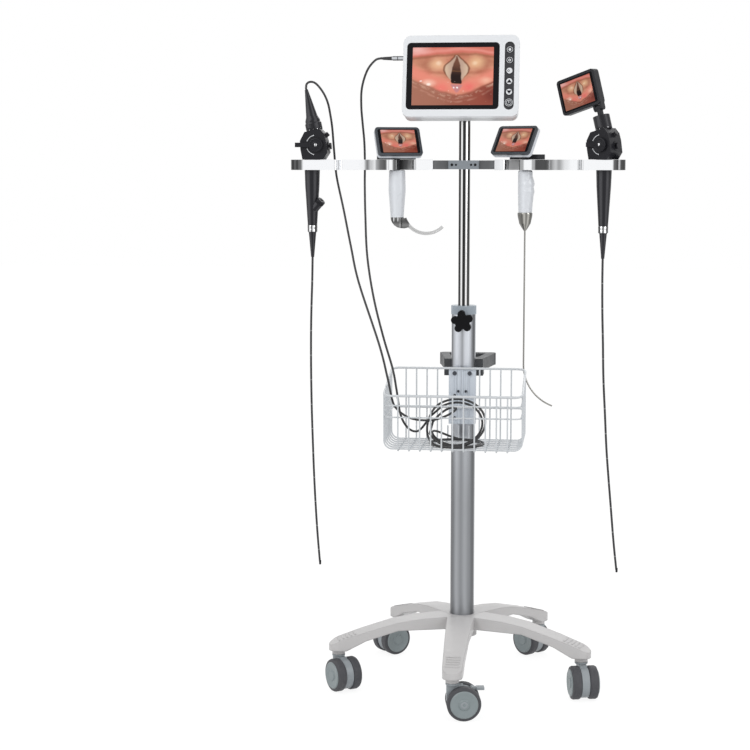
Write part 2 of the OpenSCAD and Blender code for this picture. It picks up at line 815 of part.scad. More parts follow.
module monitor_back() color(white_plastic) at_monitor() {
  difference() {
    upright(back_y) round_plate(mon_w - 2 * shell_inset, mon_h - 2 * shell_inset, mon_r - shell_inset, shell_t);
    upright(back_y - shell_wall)
      round_plate(mon_w - 2 * shell_inset - 2 * shell_wall, mon_h - 2 * shell_inset - 2 * shell_wall,
        mon_r - shell_inset - shell_wall, shell_t);
    translate([socket_x, back_y, socket_z]) cross_rod(socket_d, 2 * shell_wall + over);
    translate([-mon_w / 2, back_y - plug_y, plug_z]) side_rod(barrel_d, 4 * shell_wall);
  }
  translate([socket_x, back_y, socket_z]) difference() {
    rotate([90, 0, 0]) cylinder(d = 2 * socket_d, h = socket_depth);
    cross_rod(socket_d, 4 * socket_depth);
  }
  for (s = [-1, 1]) difference() {
    union() {
      translate([s * (yoke_ear_w / 2 + lug_gap + lug_w / 2), 0, 0]) side_rod(hinge_d, lug_w);
      translate([s * (yoke_ear_w / 2 + lug_gap + lug_w / 2) - lug_w / 2, back_y, -hinge_d / 2])
        cube([lug_w, tilt_back, hinge_d]);
    }
    side_rod(hinge_pin_d, 4 * yoke_ear_w);
  }
  side_rod(hinge_pin_d, yoke_ear_w + 2 * lug_gap + 2 * lug_w);
}

module monitor_glass() color([0.05, 0.05, 0.06]) at_monitor() {
  upright(face_y + glass_t) translate([glass_x, 0, 0]) round_plate(glass_w, glass_h, glass_r, glass_t);
  upright(face_y + glass_t + panel_t) translate([glass_x, 0, 0])
    round_plate(glass_w - 2 * panel_border, glass_h - 2 * panel_border, glass_r, panel_t);
}

function key_width(i) = i == 5 ? power_key_d : key_d;

module at_key(i) {
  translate([strip_x, face_y, -mon_drop + key_pitch * ((key_count - 1) / 2 - i)]) children();
}

module monitor_key(i) color(dark_plastic) at_monitor() at_key(i)
  translate([0, key_strip_depth - key_proud, 0]) rotate([-90, 0, 0]) cylinder(d = key_width(i), h = key_t);

module monitor_yoke() color(dark_plastic) difference() {
  union() {
    translate([0, 0, pole_top - yoke_skirt]) cylinder(d = yoke_d, h = yoke_skirt + yoke_cap_h);
    translate([mon_x, tilt_y, tilt_z]) side_rod(hinge_d, yoke_ear_w);
    translate([mon_x - yoke_ear_w / 2, tilt_y - hinge_d / 2, pole_top]) cube([yoke_ear_w, hinge_d, tilt_z - pole_top]);
  }
  cylinder(d = pole_d + 2 * run_gap, h = pole_top);
  translate([mon_x, tilt_y, tilt_z]) side_rod(hinge_pin_d + 2 * run_gap, 2 * yoke_ear_w);
}

relief_root_d = 8;
relief_tip_d = 5.8;

module monitor_plug() color(steel) at_monitor() translate([-mon_w / 2 + shell_inset, back_y - plug_y, plug_z])
  rotate([0, -90, 0]) {
    translate([0, 0, -shell_wall]) cylinder(d = barrel_d, h = shell_wall + barrel_l);
    translate([0, 0, barrel_l]) cylinder(d1 = relief_root_d, d2 = relief_tip_d, h = relief_l);
  }

// Instruments with a handle: the origin is on the handle's axis, at the top of the hanger bar

module at_holder(place) {
  translate([place.x, place.y, bar_top]) children();
}

neck_bore_d = spindle_d + 2 * run_gap;

lary_foot_share = 0.76;

module lary_handle() color(white_plastic) at_holder(lary_at) difference() {
  shares = [[0, 0], [0.83, 0], [0.94, -0.02], [1, -0.42], [0.84, -0.8], [lary_foot_share, -1], [0, -1]];
  translate([0, 0, -bar_h - handle_top_drop]) rotate_extrude()
    polygon([for (p = shares) [p.x * lary_handle_d / 2, p.y * lary_handle_l]]);
  translate([0, 0, block_h - spindle_l - seat_gap]) cylinder(d = neck_bore_d, h = spindle_l);
}

blade_top = -bar_h - handle_top_drop - lary_handle_l;
blade_base_h = 22;
blade_t = 3;
blade_rib_t = 5;
blade_centre = [59, -3];
blade_start = 200;
blade_sweep = 115;
blade_rise = 14.3;
claw_reach = 28;
// Outline of the claw that takes the blade, as shares of its height
claw_shares = [[-0.595, 0], [0.595, 0], [0.72, -0.22], [0.9, -0.46], [1.15, -0.62], [1.2, -0.84], [1, -0.93],
  [0.72, -1], [0.45, -0.985], [0.1, -0.9], [-0.2, -0.72], [-0.43, -0.45], [-0.55, -0.2]];

module blade_claw() intersection() {
  translate([0, lary_handle_d / 2, blade_top]) rotate([90, 0, 0]) linear_extrude(lary_handle_d)
    polygon([for (p = claw_shares) blade_base_h * p]);
  translate([0, 0, blade_top - blade_base_h]) linear_extrude(blade_base_h) {
    circle(d = lary_foot_share * lary_handle_d);
    translate([0, -blade_w / 2]) square([claw_reach, blade_w]);
  }
}

module lary_blade() color(steel) at_holder(lary_at) {
  blade_claw();
  translate([blade_centre.x, 0, blade_top + blade_rise]) rotate([90, 0, 0])
    rotate_extrude(angle = blade_sweep, start = blade_start) {
      translate([blade_r - blade_t / 2, -blade_w / 2]) square([blade_t, blade_w]);
      translate([blade_r - blade_rib_t, -blade_t / 2]) square([blade_rib_t, blade_t]);
    }
}

// The screen block that rests on the holder, with a spindle that turns in the handle
module neck(place, side) at_holder(place) {
  difference() {
    union() {
      translate([0, 0, seat_gap]) rotate(small_screen_turn[side]) translate([0, block_y, 0])
        round_plate(block_w, block_t, block_t / 2 - over / 10, block_h);
      translate([0, 0, block_h - spindle_l]) cylinder(d = spindle_d, h = spindle_l);
      rotate(small_screen_turn[side]) hinge_ear(screen_hinge_d, screen_hinge_w, pin_z(side));
    }
    rotate(small_screen_turn[side]) translate([0, pin_y, pin_z(side)]) side_rod(screen_pin_d + 2 * run_gap, block_w);
  }
}

// The screen's hinge lies behind its rear face, just above the block
pin_up = 13;
pin_back = 5;
pin_y = screen_low_y + pin_up * sin(small_screen_lean) + pin_back * cos(small_screen_lean);
function pin_z(side) = screen_low_z[side] + pin_up * cos(small_screen_lean) - pin_back * sin(small_screen_lean);

module hinge_ear(d, w, z) {
  translate([0, pin_y, z]) side_rod(d, w);
  translate([-w / 2, pin_y - d / 2, seat_gap + block_h / 2]) cube([w, d, z - block_h / 2 - seat_gap]);
  translate([-w / 2, pin_y, seat_gap]) cube([w, block_y - pin_y, z - seat_gap]);
}

module at_small_screen(place, side) {
  at_holder(place) rotate(small_screen_turn[side]) translate([0, screen_low_y, screen_low_z[side]])
    rotate([-small_screen_lean, 0, 0]) children();
}

// A screen shell: the origin is the middle of the lower rear edge and the face looks along -Y
module screen_shell(w, h, t) {
  difference() {
    translate([0, 0, h / 2]) rotate([90, 0, 0]) round_plate(w, h, screen_corner_r, t);
    translate([0, -t + screen_glass_t, h / 2]) rotate([90, 0, 0])
      round_plate(w - 2 * screen_frame, h - 2 * screen_frame, screen_corner_r / 2, 2 * screen_glass_t);
  }
}

module screen_pane(w, h, t) {
  translate([0, -t + screen_glass_t, h / 2]) rotate([90, 0, 0])
    round_plate(w - 2 * screen_frame, h - 2 * screen_frame, screen_corner_r / 2, screen_glass_t);
}

module small_screen(place, side) at_small_screen(place, side) {
  translate([screen_shift[side], 0, 0]) screen_shell(small_screen_w, small_screen_h, small_screen_t);
  ear_at = screen_hinge_w / 2 + lug_gap;
  for (s = [-1, 1]) {
    translate([s * (ear_at + screen_hinge_d / 2), pin_back, pin_up]) side_rod(screen_hinge_d, screen_hinge_d);
    translate([s * (ear_at + screen_hinge_d / 2) - screen_hinge_d / 2, -over, pin_up - screen_hinge_d / 2])
      cube([screen_hinge_d, pin_back + over, screen_hinge_d]);
  }
  translate([0, pin_back, pin_up]) side_rod(screen_pin_d, 2 * ear_at + 2 * over);
}

module lary_neck() color(dark_plastic) neck(lary_at, 0);
module lary_screen() color(dark_plastic) small_screen(lary_at, 0);
module small_glass(place, side) color([0.7, 0.35, 0.3]) at_small_screen(place, side)
  translate([screen_shift[side], 0, 0]) screen_pane(small_screen_w, small_screen_h, small_screen_t);
module lary_glass() small_glass(lary_at, 0);

stylet_foot_share = 0.88;

// Distance from the stylet handle's axis to that of its finger bumps
bump_shift = 3;

module stylet_turned(shares) {
  translate([0, 0, -bar_h - handle_top_drop]) rotate_extrude()
    polygon([for (p = shares) [p.x * stylet_handle_d / 2, p.y * stylet_handle_l]]);
}

module stylet_handle() color(white_plastic) at_holder(stylet_at) difference() {
  grip_shares = [[0, 0], [0.8, 0], [0.97, -0.036], [0.96, -0.4], [0.92, -0.8], [stylet_foot_share, -1],
    [0, -1]];
  bump_shares = [[0, -0.04], [0.6, -0.06], [0.77, -0.15], [0.98, -0.26], [1.05, -0.33], [0.92, -0.41],
    [1.04, -0.5], [0.9, -0.6], [0.87, -0.7], [0.8, -0.78], [0.74, -0.98], [0, -0.98]];
  union() {
    stylet_turned(grip_shares);
    translate([bump_shift, 0, 0]) stylet_turned(bump_shares);
  }
  translate([0, 0, block_h - spindle_l - seat_gap]) cylinder(d = neck_bore_d, h = spindle_l);
}

cone_h = 36;
stylet_bend = 70;

module stylet_tube() color(steel) at_holder(stylet_at) {
  top = -bar_h - handle_top_drop - stylet_handle_l;
  r = stylet_foot_share * stylet_handle_d / 2;
  shares = [[0, 0], [1.1, 0], [1.13, -0.06], [1.1, -0.2], [1, -0.36], [0.86, -0.6], [0.5, -0.82], [0.16, -1],
    [0, -1]];
  translate([0, 0, top]) rotate_extrude() polygon([for (p = shares) [p.x * r, p.y * cone_h]]);
  translate([0, 0, top - cone_h - stylet_straight]) cylinder(d = stylet_d, h = stylet_straight + over);
  translate([stylet_bend_r, 0, top - cone_h - stylet_straight]) rotate([90, 0, 0])
    rotate_extrude(angle = stylet_bend, start = 180) translate([stylet_bend_r, 0]) circle(d = stylet_d);
}

module stylet_neck() color(dark_plastic) neck(stylet_at, 1);
module stylet_screen() color(dark_plastic) small_screen(stylet_at, 1);
module stylet_glass() small_glass(stylet_at, 1);

// Flexible scopes: the origin is on the grip's axis, at the top of the hanger bar

// Places on a scope's body, measured from its middle and from the holder's top
control_shift = [6, 0];
lever_at = [5, 29];
valve_at = [26, 26.5];
cap_at = [20, 46];
nut_at = [-1, 58];

// The body's outline, as shares of half its width and of its height
control_shares = [[-0.8, 0], [-0.94, 0.32], [-0.98, 0.61], [-0.6, 0.95], [-0.5, 1.02], [0.4, 1.02], [0.72, 0.86],
  [0.88, 0.62], [1, 0.23], [0.68, 0]];

// The grip's outline, as shares of its radius and of its length
grip_waist_shares = [0.92, 0.7];

module at_scope(i) {
  at_holder(scope_at[i]) rotate(scope_turn[i]) children();
}

module at_control(i, place = [0, 0]) {
  at_scope(i) translate([control_shift[i] + place.x, 0, place.y]) children();
}

module at_valve(i) {
  at_control(i, valve_at) rotate([0, valve_tilt, 0]) children();
}

module at_nut(i) {
  at_control(i, nut_at) rotate([0, -scope_lean[i], 0]) children();
}

module at_port(i) {
  at_scope(i) rotate(port_turn[i]) translate([0, 0, port_z - grip_l - ring_h]) rotate([0, port_tilt, 0]) children();
}

module scope_body(i) difference() {
  union() {
    at_control(i) translate([0, 0, seat_gap]) rotate([90, 0, 0]) linear_extrude(control_t, center = true)
      polygon([for (s = control_shares) [s.x * control_w / 2, s.y * control_h]]);
    at_holder(scope_at[i]) translate([0, 0, -grip_l - ring_h]) rotate_extrude() polygon([[0, -boot_l],
      [tube_d / 2 + over, -boot_l], [ring_d / 2 - 2 * over, -over], [ring_d / 2 - over, 0], [ring_d / 2, over],
      [ring_d / 2, ring_h], [grip_waist_shares.x * grip_d / 2, grip_waist_shares.y * grip_l], [grip_d / 2, grip_l],
      [grip_d / 2, grip_l + ring_h + grip_rise], [0, grip_l + ring_h + grip_rise]]);
    at_port(i) cylinder(d = port_d, h = port_l);
    at_valve(i) translate([0, 0, -valve_boss_rise]) cylinder(d = valve_boss_d, h = 2 * valve_boss_rise);
    at_control(i, cap_at) rotate([0, cap_tilt, 0]) cylinder(d = cap_d, h = cap_l);
  }
  at_nut(i) cylinder(d = 2 * control_w, h = control_h);
  at_holder(scope_at[i]) translate([0, 0, -grip_l - ring_h - boot_l]) cylinder(d = tube_d, h = 2 * over);
  at_port(i) translate([0, 0, port_l - channel_l]) cylinder(d = channel_d, h = channel_l + over);
  at_control(i, lever_at) cross_rod(lever_rod_d + 2 * run_gap, control_t + over);
  at_valve(i) cylinder(d = valve_stem_d + 2 * run_gap, h = 2 * valve_stem_l, center = true);
}

module scope_lever(i) at_control(i, lever_at) {
  face = -control_t / 2 - lever_y;
  cross_rod(lever_rod_d, control_t + 2 * lever_y);
  translate([0, face, 0]) rotate([90, 0, 0]) cylinder(d = lever_hub_d, h = lever_hub_t);
  translate([-lever_hub_d / 2 - lever_paddle_l[i] + lever_paddle_w / 2, face - lever_hub_t, -lever_paddle_w / 2])
    cube([lever_paddle_l[i] + lever_paddle_w / 2, lever_hub_t, lever_paddle_w]);
  translate([0, control_t / 2 + lever_y, 0]) rotate([-90, 0, 0]) cylinder(d = lever_rod_d + 2 * over, h = over);
}

module scope_valve(i) at_valve(i) {
  head = valve_boss_rise + valve_stroke + seat_gap;
  translate([0, 0, head]) cylinder(d = valve_d, h = valve_l);
  translate([0, 0, head - valve_stem_l]) cylinder(d = valve_stem_d, h = valve_stem_l + valve_l / 2);
}

module scope_a_body() color(dark_plastic) scope_body(0);
module scope_a_lever() color(dark_plastic) scope_lever(0);
module scope_a_valve() color(dark_plastic) scope_valve(0);

module nut(d) {
  difference() {
    cylinder(d = d, h = nut_h);
    for (i = [0:nut_flutes - 1]) rotate(i * 360 / nut_flutes) translate([d / 2 + over, 0, over])
      cylinder(d = flute_d, h = nut_h);
  }
}

// The connector's nut narrows toward its boot: shares of its radius and of its height
shoulder_shares = [[0, 0], [1, 0], [1, 0.5], [0.9, 0.56], [0.9, 0.72], [0.7, 1], [0, 1]];

module scope_a_connector() color(dark_plastic) at_nut(0) {
  intersection() {
    nut(nut_d);
    rotate_extrude() polygon([for (p = shoulder_shares) [p.x * nut_d / 2, p.y * nut_h]]);
  }
  translate([0, 0, nut_h]) cylinder(d1 = boot_root_d, d2 = boot_tip_d, h = connector_boot_l);
}

module scope_b_body() color(dark_plastic) difference() {
  union() {
    scope_body(1);
    at_nut(1) nut(nut_d);
  }
  at_nut(1) translate([0, 0, nut_h / 2]) cylinder(d = neck_d + 2 * run_gap, h = nut_h);
}

module scope_b_lever() color(dark_plastic) scope_lever(1);
module scope_b_valve() color(dark_plastic) scope_valve(1);

// The right scope's screen stands on a neck that turns in the nut
b_screen_turn = -5;
b_screen_side = -36;
b_hinge_z = nut_h + neck_l + 7;
b_hinge_d = 12;
b_pin_d = 5;

module at_b_neck() {
  at_nut(1) rotate(b_screen_turn) children();
}

module scope_b_neck() color(dark_plastic) at_b_neck() difference() {
  union() {
    translate([0, 0, nut_h / 2 + seat_gap]) cylinder(d = neck_d, h = nut_h / 2 + neck_l);
    translate([0, 0, b_hinge_z]) side_rod(b_hinge_d, neck_d);
    translate([0, 0, nut_h + neck_l / 2]) cylinder(d = neck_d, h = neck_l);
  }
  translate([0, 0, b_hinge_z]) side_rod(b_pin_d + 2 * run_gap, 2 * neck_d);
}

module at_b_screen() {
  at_b_neck() translate([b_screen_side, 0, b_hinge_z]) children();
}

module scope_b_screen() color(dark_plastic) {
  t = scope_screen_t;
  at_b_screen() translate([0, t / 2, b_hinge_d / 2 + over]) screen_shell(scope_screen_w, scope_screen_h, t);
  at_b_neck() translate([0, 0, b_hinge_z]) {
    for (s = [-1, 1]) {
      translate([s * (neck_d / 2 + lug_gap + over * 2), 0, 0]) side_rod(b_hinge_d, 4 * over);
      translate([s * (neck_d / 2 + lug_gap + over * 2) - 2 * over, -b_hinge_d / 2, 0])
        cube([4 * over, b_hinge_d, b_hinge_d + 2 * over]);
    }
    side_rod(b_pin_d, neck_d + 2 * lug_gap + 4 * over);
  }
}

module scope_b_glass() color([0.7, 0.35, 0.3]) at_b_screen()
  translate([0, scope_screen_t / 2, b_hinge_d / 2 + over]) screen_pane(scope_screen_w, scope_screen_h, scope_screen_t);

// Insertion tubes hang from the grips

down = [0, 0, -1];
a_tube_drops = [[0, 0], [-1, 50], [-3, 110], [-4, 170], [-4, 240], [-3, 310], [-1, 380], [1, 440], [4, 505],
  [8, 570], [13, 632]];
b_tube_drops = [[0, 0], [0, 50], [1, 110], [3, 170], [5, 240], [9, 310], [13, 380], [18, 440], [24, 505],
  [30, 570], [37, 632]];

module insertion_tube(place, drops) at_holder(place) {
  top = -grip_l - ring_h - boot_l + 2 * over;
  swept_tube([for (p = drops) [p[0], 0, top - p[1]]], tube_d, 8, [0, 1, 0], [down, down]);
}

module scope_a_tube() color(dark_plastic) insertion_tube(scope_at[0], a_tube_drops);
module scope_b_tube() color(dark_plastic) insertion_tube(scope_at[1], b_tube_drops);

// Video cable

function straight_ends(points, ways) = concat([points[0], points[0] + cable_d * ways[0]],
  [for (i = [1:len(points) - 2]) points[i]],
  [points[len(points) - 1] - cable_d * ways[1], points[len(points) - 1]]);

module cable(points, ways, sides, side_hint) {
  p = straight_ends(points, ways);
  swept_tube(p, cable_d, sides, side_hint, ways);
}

module cable_scope_side() color(dark_plastic) {
  ways = [unit(connector_way), coil_in_way];
  cable(curve(concat([connector_tip], scope_cable_route, [coil_in]), 2), ways, 8, [0, 1, 0]);
}

module cable_monitor_side() color(dark_plastic) {
  ways = [[-1, 0, 0], -unit(coil_out_way)];
  cable(curve(concat([plug_tip], monitor_cable_route, [coil_out]), 2), ways, 8, [0, 1, 0]);
}

// The tips of the connector's boot and of the plug's relief, in the column's frame
connector_way = [-sin(scope_lean[0]), 0, cos(scope_lean[0])];
connector_tip = [scope_at[0].x + control_shift[0] + nut_at.x, scope_at[0].y, bar_top + nut_at.y]
  + (nut_h + connector_boot_l + seat_gap / 2) * connector_way;
plug_tip = let (x = mon_x - mon_w / 2 + shell_inset - barrel_l - relief_l, y = back_y - plug_y, z = plug_z)
  [x, tilt_y + y * cos(mon_lean) + z * sin(mon_lean), tilt_z - y * sin(mon_lean) + z * cos(mon_lean)];

// The coil: a small half turn, a loop that leans back, two flat loops and one more that leans
coil_x = -5;
coil_z = basket_floor + wire_d / 2 + cable_d / 2 + seat_gap / 2;
coil_front_y = -180;
coil_steps = 24;
coil_lean = 46;
coil_lead = [[-48, -129, 557], [-32, -121, 561], [-17, -108, 567], [-8, -95, 573], [-9, -86, 575],
  [-19, -82, 575], [-33, -87, 568], [-44, -100, 559], [-52, -115, 550]];
lean_step = 16;
loop_shrink = 5;
coil_span = [0.08, 3.86];

function ramp(a, b, x) = let (t = min(max((x - a) / (b - a), 0), 1)) t * t * (3 - 2 * t);

// The share of the full lean after so many turns, and the loop's radius there
function lean_at(n) = 1 - ramp(0.85, 1.25, n) + ramp(2.7, 3.25, n);

function loop_r(n) = coil_r - loop_shrink * (ramp(1.1, 1.8, n) + ramp(1.8, 2.6, n) - ramp(3.1, 3.7, n));

function coil_point(n) =
  let (a = 180 + 360 * n, r = loop_r(n), tip = lean_at(n), back = r * (1 + sin(a)))
  [coil_x + r * cos(a), coil_front_y + (lean_step + loop_shrink * ramp(2.7, 3.2, n)) * tip
    + (coil_r - r) + back * cos(coil_lean * tip), coil_z + back * sin(coil_lean * tip)];

coil_turns = [for (i = [0:round((coil_span[1] - coil_span[0]) * coil_steps)]) coil_span[0] + i / coil_steps];
coil_path = straight_ends(concat([coil_in], curve(coil_lead, 2), [for (n = coil_turns) coil_point(n)], [coil_out]),
  [coil_in_way, unit(coil_out_way)]);

// The least gap between two loops, measured on each chord split in four
module coil_gap() {
  fine = curve(coil_path, 4);
  apart = 30;
  gaps = [for (i = [0:2:len(fine) - 1]) min([for (j = [i + apart:1:max(len(fine) - 1, i + apart)])
    j < len(fine) ? norm(fine[i] - fine[j]) : basket_w]) - cable_d];
  echo(least_coil_gap = min(gaps), coil_rings = len(coil_path));
}

module cable_coil() color(dark_plastic) {
  coil_gap();
  swept_tube(coil_path, cable_d, 6, [0, 0, 1], [coil_in_way, unit(coil_out_way)]);
}

module place() {
  translate(column_at) children();
}

place() star_base();
place() castor_stems();
for (i = [0:leg_count - 1]) {
  place() castor_housing(i);
  place() castor_wheels(i);
}
place() brake_pedal();
place() outer_column();
place() column_collar();
place() lock_knob();
place() push_handle();
place() basket();
place() basket_bracket();
place() bracket_screws();
place() inner_pole();
place() bar_clamp();
place() bar_left();
place() bar_right();
place() monitor_yoke();
place() monitor_front();
place() monitor_back();
place() monitor_glass();
for (i = [0:5]) place() monitor_key(i);
place() monitor_plug();
place() cable_monitor_side();
place() cable_coil();
place() cable_scope_side();
place() scope_a_body();
place() scope_a_lever();
place() scope_a_valve();
place() scope_a_connector();
place() scope_a_tube();
place() lary_handle();
place() lary_blade();
place() lary_neck();
place() lary_screen();
place() lary_glass();
place() stylet_handle();
place() stylet_tube();
place() stylet_neck();
place() stylet_screen();
place() stylet_glass();
place() scope_b_body();
place() scope_b_lever();
place() scope_b_valve();
place() scope_b_neck();
place() scope_b_screen();
place() scope_b_glass();
place() scope_b_tube();
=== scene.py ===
import math

import bmesh
import bpy
from mathutils import Matrix, Vector


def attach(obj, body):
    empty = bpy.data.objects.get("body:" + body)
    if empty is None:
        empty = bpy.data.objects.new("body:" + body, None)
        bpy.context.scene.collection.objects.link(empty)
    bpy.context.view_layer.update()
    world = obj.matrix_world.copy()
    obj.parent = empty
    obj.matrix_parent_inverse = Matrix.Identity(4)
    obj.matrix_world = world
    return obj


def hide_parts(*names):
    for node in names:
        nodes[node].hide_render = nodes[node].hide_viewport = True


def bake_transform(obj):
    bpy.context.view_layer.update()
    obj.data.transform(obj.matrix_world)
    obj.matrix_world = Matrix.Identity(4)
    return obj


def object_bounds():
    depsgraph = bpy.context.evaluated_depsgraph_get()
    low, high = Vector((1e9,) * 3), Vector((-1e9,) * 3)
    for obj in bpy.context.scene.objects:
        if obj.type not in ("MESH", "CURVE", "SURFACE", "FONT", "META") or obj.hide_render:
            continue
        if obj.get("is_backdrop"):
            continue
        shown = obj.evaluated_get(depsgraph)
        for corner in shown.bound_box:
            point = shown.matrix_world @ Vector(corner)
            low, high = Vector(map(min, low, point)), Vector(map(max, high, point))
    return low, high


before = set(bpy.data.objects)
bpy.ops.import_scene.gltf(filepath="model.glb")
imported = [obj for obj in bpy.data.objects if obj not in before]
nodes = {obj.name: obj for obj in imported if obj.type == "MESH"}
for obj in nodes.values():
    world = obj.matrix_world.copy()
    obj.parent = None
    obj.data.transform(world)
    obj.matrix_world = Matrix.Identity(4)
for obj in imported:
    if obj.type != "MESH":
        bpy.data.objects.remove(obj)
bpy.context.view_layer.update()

MM = 0.001
TURN = 6.2832   # a full turn for the sine nodes
SHIFT = Vector((0.014, 0.011, 0))   # from the column's frame to the row's frame
BAR_TOP, BAR_H, BAR_LOW = 1060.7, 20.4, 1040.3
collection = bpy.context.scene.collection


def at(x, y, z):
    """A point in the column's frame, in millimetres, as a place in the row's frame."""
    return Vector((x, y, z)) / 1000 + SHIFT


# ---- camera
CAMERA_SIDE, CAMERA_AWAY, CAMERA_UP = math.radians(4), 3600, 1060
AIM_RIGHT, AIM_DOWN, AIM_AWAY = 89, 215, 1800
yaw = -CAMERA_SIDE - math.atan(AIM_RIGHT / AIM_AWAY)
pitch = math.atan(AIM_DOWN / AIM_AWAY)
aim = Vector((math.sin(yaw) * math.cos(pitch), math.cos(yaw) * math.cos(pitch), -math.sin(pitch)))
camera = bpy.data.objects.new("camera", bpy.data.cameras.new("camera"))
camera.location = at(CAMERA_AWAY * math.sin(CAMERA_SIDE), -CAMERA_AWAY * math.cos(CAMERA_SIDE), CAMERA_UP)
camera.rotation_mode = "QUATERNION"
camera.rotation_quaternion = aim.to_track_quat("-Z", "Y")
camera.data.lens = 86.4
camera.data.sensor_width = 36
camera.data.clip_end = 40
collection.objects.link(camera)
bpy.context.scene.camera = camera


# ---- node helpers
class Tree:
    """Short calls for building a material's nodes."""

    def __init__(self, name):
        self.mat = bpy.data.materials.new(name)
        self.mat.use_nodes = True
        self.tree = self.mat.node_tree
        self.shader = self.tree.nodes["Principled BSDF"]
        self.coord = self.tree.nodes.new("ShaderNodeTexCoord")

    def node(self, kind, inputs=(), **sets):
        """A node with its settings, whose inputs are fed by values or by other nodes."""
        n = self.tree.nodes.new("ShaderNode" + kind)
        for k, v in sets.items():
            setattr(n, k, v)
        for k, v in dict(inputs).items():
            if v is not None:
                self.feed(n.inputs[k], v)
        return n

    def link(self, out, socket):
        self.tree.links.new(out, socket)

    def feed(self, socket, value):
        if isinstance(value, bpy.types.NodeSocket):
            self.link(value, socket)
        else:
            socket.default_value = value

    def math(self, op, a, b=0.0):
        return self.node("Math", {0: a, 1: b}, operation=op).outputs[0]

    def times(self, a, b):
        return self.math("MULTIPLY", a, b)

    def plus(self, a, b):
        return self.math("ADD", a, b)

    def minus(self, a, b):
        return self.math("SUBTRACT", a, b)

    def size(self, a):
        return self.math("ABSOLUTE", a)

    def reach(self, a, b):
        """How far a point at a, b lies from the middle."""
        return self.math("SQRT", self.plus(self.times(a, a), self.times(b, b)))

    def vector(self, op, a, b=None, output=0):
        return self.node("VectorMath", {0: a, 1: b}, operation=op).outputs[output]

    def dot(self, a, b):
        return self.vector("DOT_PRODUCT", a, b, "Value")

    def length(self, a):
        return self.vector("LENGTH", a, output="Value")

    def step(self, value, low, high, out_low=0.0, out_high=1.0, kind="SMOOTHSTEP"):
        ends = {"From Min": low, "From Max": high, "To Min": out_low, "To Max": out_high}
        return self.node("MapRange", {"Value": value, **ends}, interpolation_type=kind).outputs[0]

    def slope(self, value, low, high, out_low=0.0, out_high=1.0):
        return self.step(value, low, high, out_low, out_high, "LINEAR")

    def band(self, value, middle, outer, inner=0.0):
        """1 where a value lies within inner of the middle, and 0 from outer on."""
        return self.step(self.size(self.minus(value, middle)), outer, inner)

    def window(self, value, a, b, c, d):
        """A rise from a to b times a fall from c to d."""
        return self.times(self.step(value, a, b), self.step(value, c, d))

    def scaled(self, scale, location=(0, 0, 0), source=None):
        source = source or self.coord.outputs["Object"]
        return self.node("Mapping", {"Vector": source, "Scale": scale, "Location": location}).outputs[0]

    def noise(self, scale, detail, rough=0.55, stretch=(1, 1, 1), source=None):
        inputs = {"Scale": scale, "Detail": detail, "Roughness": rough,
                  "Vector": self.scaled(stretch, source=source)}
        return self.node("TexNoise", inputs).outputs["Fac"]

    def paint(self, socket, value):
        """Feeds a colour input by three numbers or by another node."""
        self.feed(socket, value if isinstance(value, bpy.types.NodeSocket) else (*value, 1))

    def mix(self, factor, a, b, kind="MIX"):
        n = self.node("Mix", {0: factor}, data_type="RGBA", blend_type=kind)
        self.paint(n.inputs[6], a)
        self.paint(n.inputs[7], b)
        return n.outputs[2]

    def bump(self, height, strength, distance):
        old = self.shader.inputs["Normal"].links
        inputs = {"Strength": strength, "Distance": distance, "Height": height,
                  "Normal": old[0].from_socket if old else None}
        self.put("Normal", self.node("Bump", inputs).outputs[0])

    def split(self, source=None):
        return self.node("SeparateXYZ", {0: source or self.coord.outputs["Object"]}).outputs[:3]

    def bevel(self, radius, samples):
        return self.node("Bevel", {"Radius": radius}, samples=samples).outputs[0]

    def edges(self):
        """1 on sharp edges and 0 on flats."""
        flat = self.node("NewGeometry").outputs["Normal"]
        return self.step(self.dot(self.bevel(0.0012, 4), flat), 0.995, 0.9)

    def round_edges(self, radius):
        self.put("Normal", self.bevel(radius, 6))

    def ramp(self, value, stops, low=-1.0, high=1.0, tint=(1, 1, 1)):
        """Greys along a value: stops are (value, grey) pairs, mixed smoothly."""
        n = self.node("ValToRGB", {0: self.slope(value, low, high)})
        n.color_ramp.interpolation = "EASE"
        ends = n.color_ramp.elements
        while len(ends) < len(stops):
            ends.new(0.5)
        for e, (v, g) in zip(ends, stops):
            e.position = (v - low) / (high - low)
            e.color = (g * tint[0], g * tint[1], g * tint[2], 1)
        return n.outputs[0]

    def sideways(self):
        """How far a surface turns to the side: -1 faces left, 0 the front or the back, and 1 right."""
        x, y = self.split(self.coord.outputs["Normal"])[:2]
        return self.math("DIVIDE", x, self.math("MAXIMUM", self.reach(x, y), 0.02))

    def toned(self, colour, tone):
        return self.mix(1.0, colour, tone, "MULTIPLY")

    def base(self):
        """What colours the surface so far."""
        return self.shader.inputs["Base Color"].links[0].from_socket

    def put(self, socket, value):
        self.feed(self.shader.inputs[socket], value)

    def colour(self, value):
        self.paint(self.shader.inputs["Base Color"], value)


def shade(c, k):
    return tuple(min(1, x * k) for x in c)


